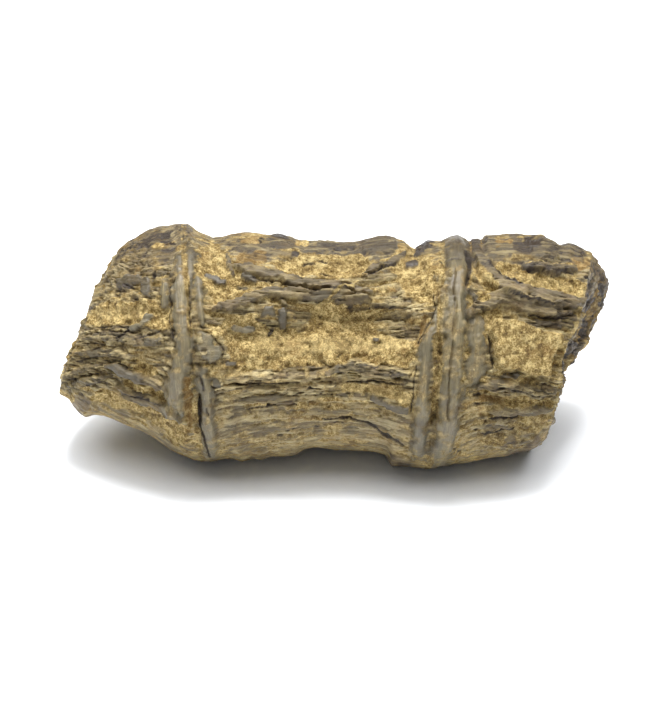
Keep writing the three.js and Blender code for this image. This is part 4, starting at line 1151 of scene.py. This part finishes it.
around = {"count": 500, "frontCrowding": 0.28}      # points in a ring, closer together in front
turns = np.arange(around["count"]) * 2 * math.pi / around["count"]
angles = turns - around["frontCrowding"] * np.sin(turns)
seamGap = 0.02
surfaceSeed = 200                # the same for all, so that the stone carries on across the seams
innermost = 0.012                # share of the way out, of the first ring on a broken end


def rowsBetween(first, last, count):
    # evenly spaced between two ends that change round the body
    return mix(first, last, np.linspace(0, 1, count)[:, None])


leftVertebra = {"rows": 92, "endRings": 52, "endSeed": 150, "warmth": (255, 254, 252)}
broken = brokenEnds["left"]
grid = rowsBetween(endMid(broken, angles), seamMid(seams["left"], angles) - seamGap / 2,
                   leftVertebra["rows"])
side, look = sideGrid(grid, angles, surfaceSeed)
ringLook = {key: look[key][:around["count"]] for key in lookKeys}
shares = np.linspace(innermost, 1, leftVertebra["endRings"], endpoint=False)
cap, capLook = endGrid(broken, side[0], ringLook, shares, angles, leftVertebra["endSeed"])
closedMesh("left_vertebra_fossil", np.concatenate([cap, side]), joinLooks(capLook, look),
           fossilFinish("left fossil stone", leftVertebra["warmth"]),
           "left_vertebra")
print("left vertebra built")

middleVertebra = {"rows": 198, "warmth": (255, 255, 255)}
grid = rowsBetween(seamMid(seams["left"], angles) + seamGap / 2,
                   seamMid(seams["right"], angles) - seamGap / 2, middleVertebra["rows"])
side, look = sideGrid(grid, angles, surfaceSeed)
closedMesh("middle_vertebra_fossil", side, joinLooks(look),
           fossilFinish("middle fossil stone", middleVertebra["warmth"]),
           "middle_vertebra")
print("middle vertebra built")

rightVertebra = {"rows": 112, "endRings": 60, "endSeed": 350, "warmth": (252, 252, 250)}
broken = brokenEnds["right"]
grid = rowsBetween(seamMid(seams["right"], angles) + seamGap / 2, endMid(broken, angles),
                   rightVertebra["rows"])
side, look = sideGrid(grid, angles, surfaceSeed)
ringLook = {key: look[key][-around["count"]:] for key in lookKeys}
shares = np.linspace(innermost, 1, rightVertebra["endRings"], endpoint=False)[::-1]
cap, capLook = endGrid(broken, side[-1], ringLook, shares, angles, rightVertebra["endSeed"])
closedMesh("right_vertebra_fossil", np.concatenate([side, cap]), joinLooks(look, capLook),
           fossilFinish("right fossil stone", rightVertebra["warmth"]),
           "right_vertebra")
print("right vertebra built")

# A white table that runs on as far as the eye sees, and soft light from overhead.
table = {"half": 3.0, "white": (0.90, 0.925, 0.96, 1)}
reach = table["half"]
tableMesh = bpy.data.meshes.new("table")
tableCorners = [(-reach, -reach, 0), (reach, -reach, 0), (reach, reach, 0), (-reach, reach, 0)]
tableMesh.from_pydata(tableCorners, [], [(0, 1, 2, 3)])
tableTop = bpy.data.objects.new("table", tableMesh)
bpy.context.scene.collection.objects.link(tableTop)
tableFinish = bpy.data.materials.new("white table")
tableFinish.use_nodes = True
tableShader = tableFinish.node_tree.nodes["Principled BSDF"]
tableShader.inputs["Base Color"].default_value = table["white"]
tableShader.inputs["Roughness"].default_value = 0.8
tableShader.inputs["Specular IOR Level"].default_value = 0.1
tableMesh.materials.append(tableFinish)

lights = {                       # places in metres, power in watts
    "ceiling": {"at": (0.0, 0.12, 1.10), "size": 1.9, "power": 31.0},
    "lamp": {"at": (0.02, 0.05, 0.90), "size": 0.35, "power": 9.0},
    "window": {"at": (-0.10, -0.90, 0.70), "size": 0.7, "power": 1.4},
    "sky": 0.10,
}
for name in ("ceiling", "lamp", "window"):
    one = lights[name]
    data = bpy.data.lights.new(name, "AREA")
    data.size = one["size"]
    data.energy = one["power"]
    lamp = bpy.data.objects.new(name, data)
    lamp.location = one["at"]
    lamp.rotation_mode = "QUATERNION"
    aim = Vector((0, 0, 0.02)) - Vector(one["at"])
    lamp.rotation_quaternion = aim.to_track_quat("-Z", "Y")
    bpy.context.scene.collection.objects.link(lamp)
world = bpy.data.worlds.new("studio")
world.use_nodes = True
sky = world.node_tree.nodes["Background"]
sky.inputs["Color"].default_value = (1, 1, 1, 1)
sky.inputs["Strength"].default_value = lights["sky"]
bpy.context.scene.world = world
bpy.context.scene.view_settings.view_transform = "Standard"
print("table and lights set")
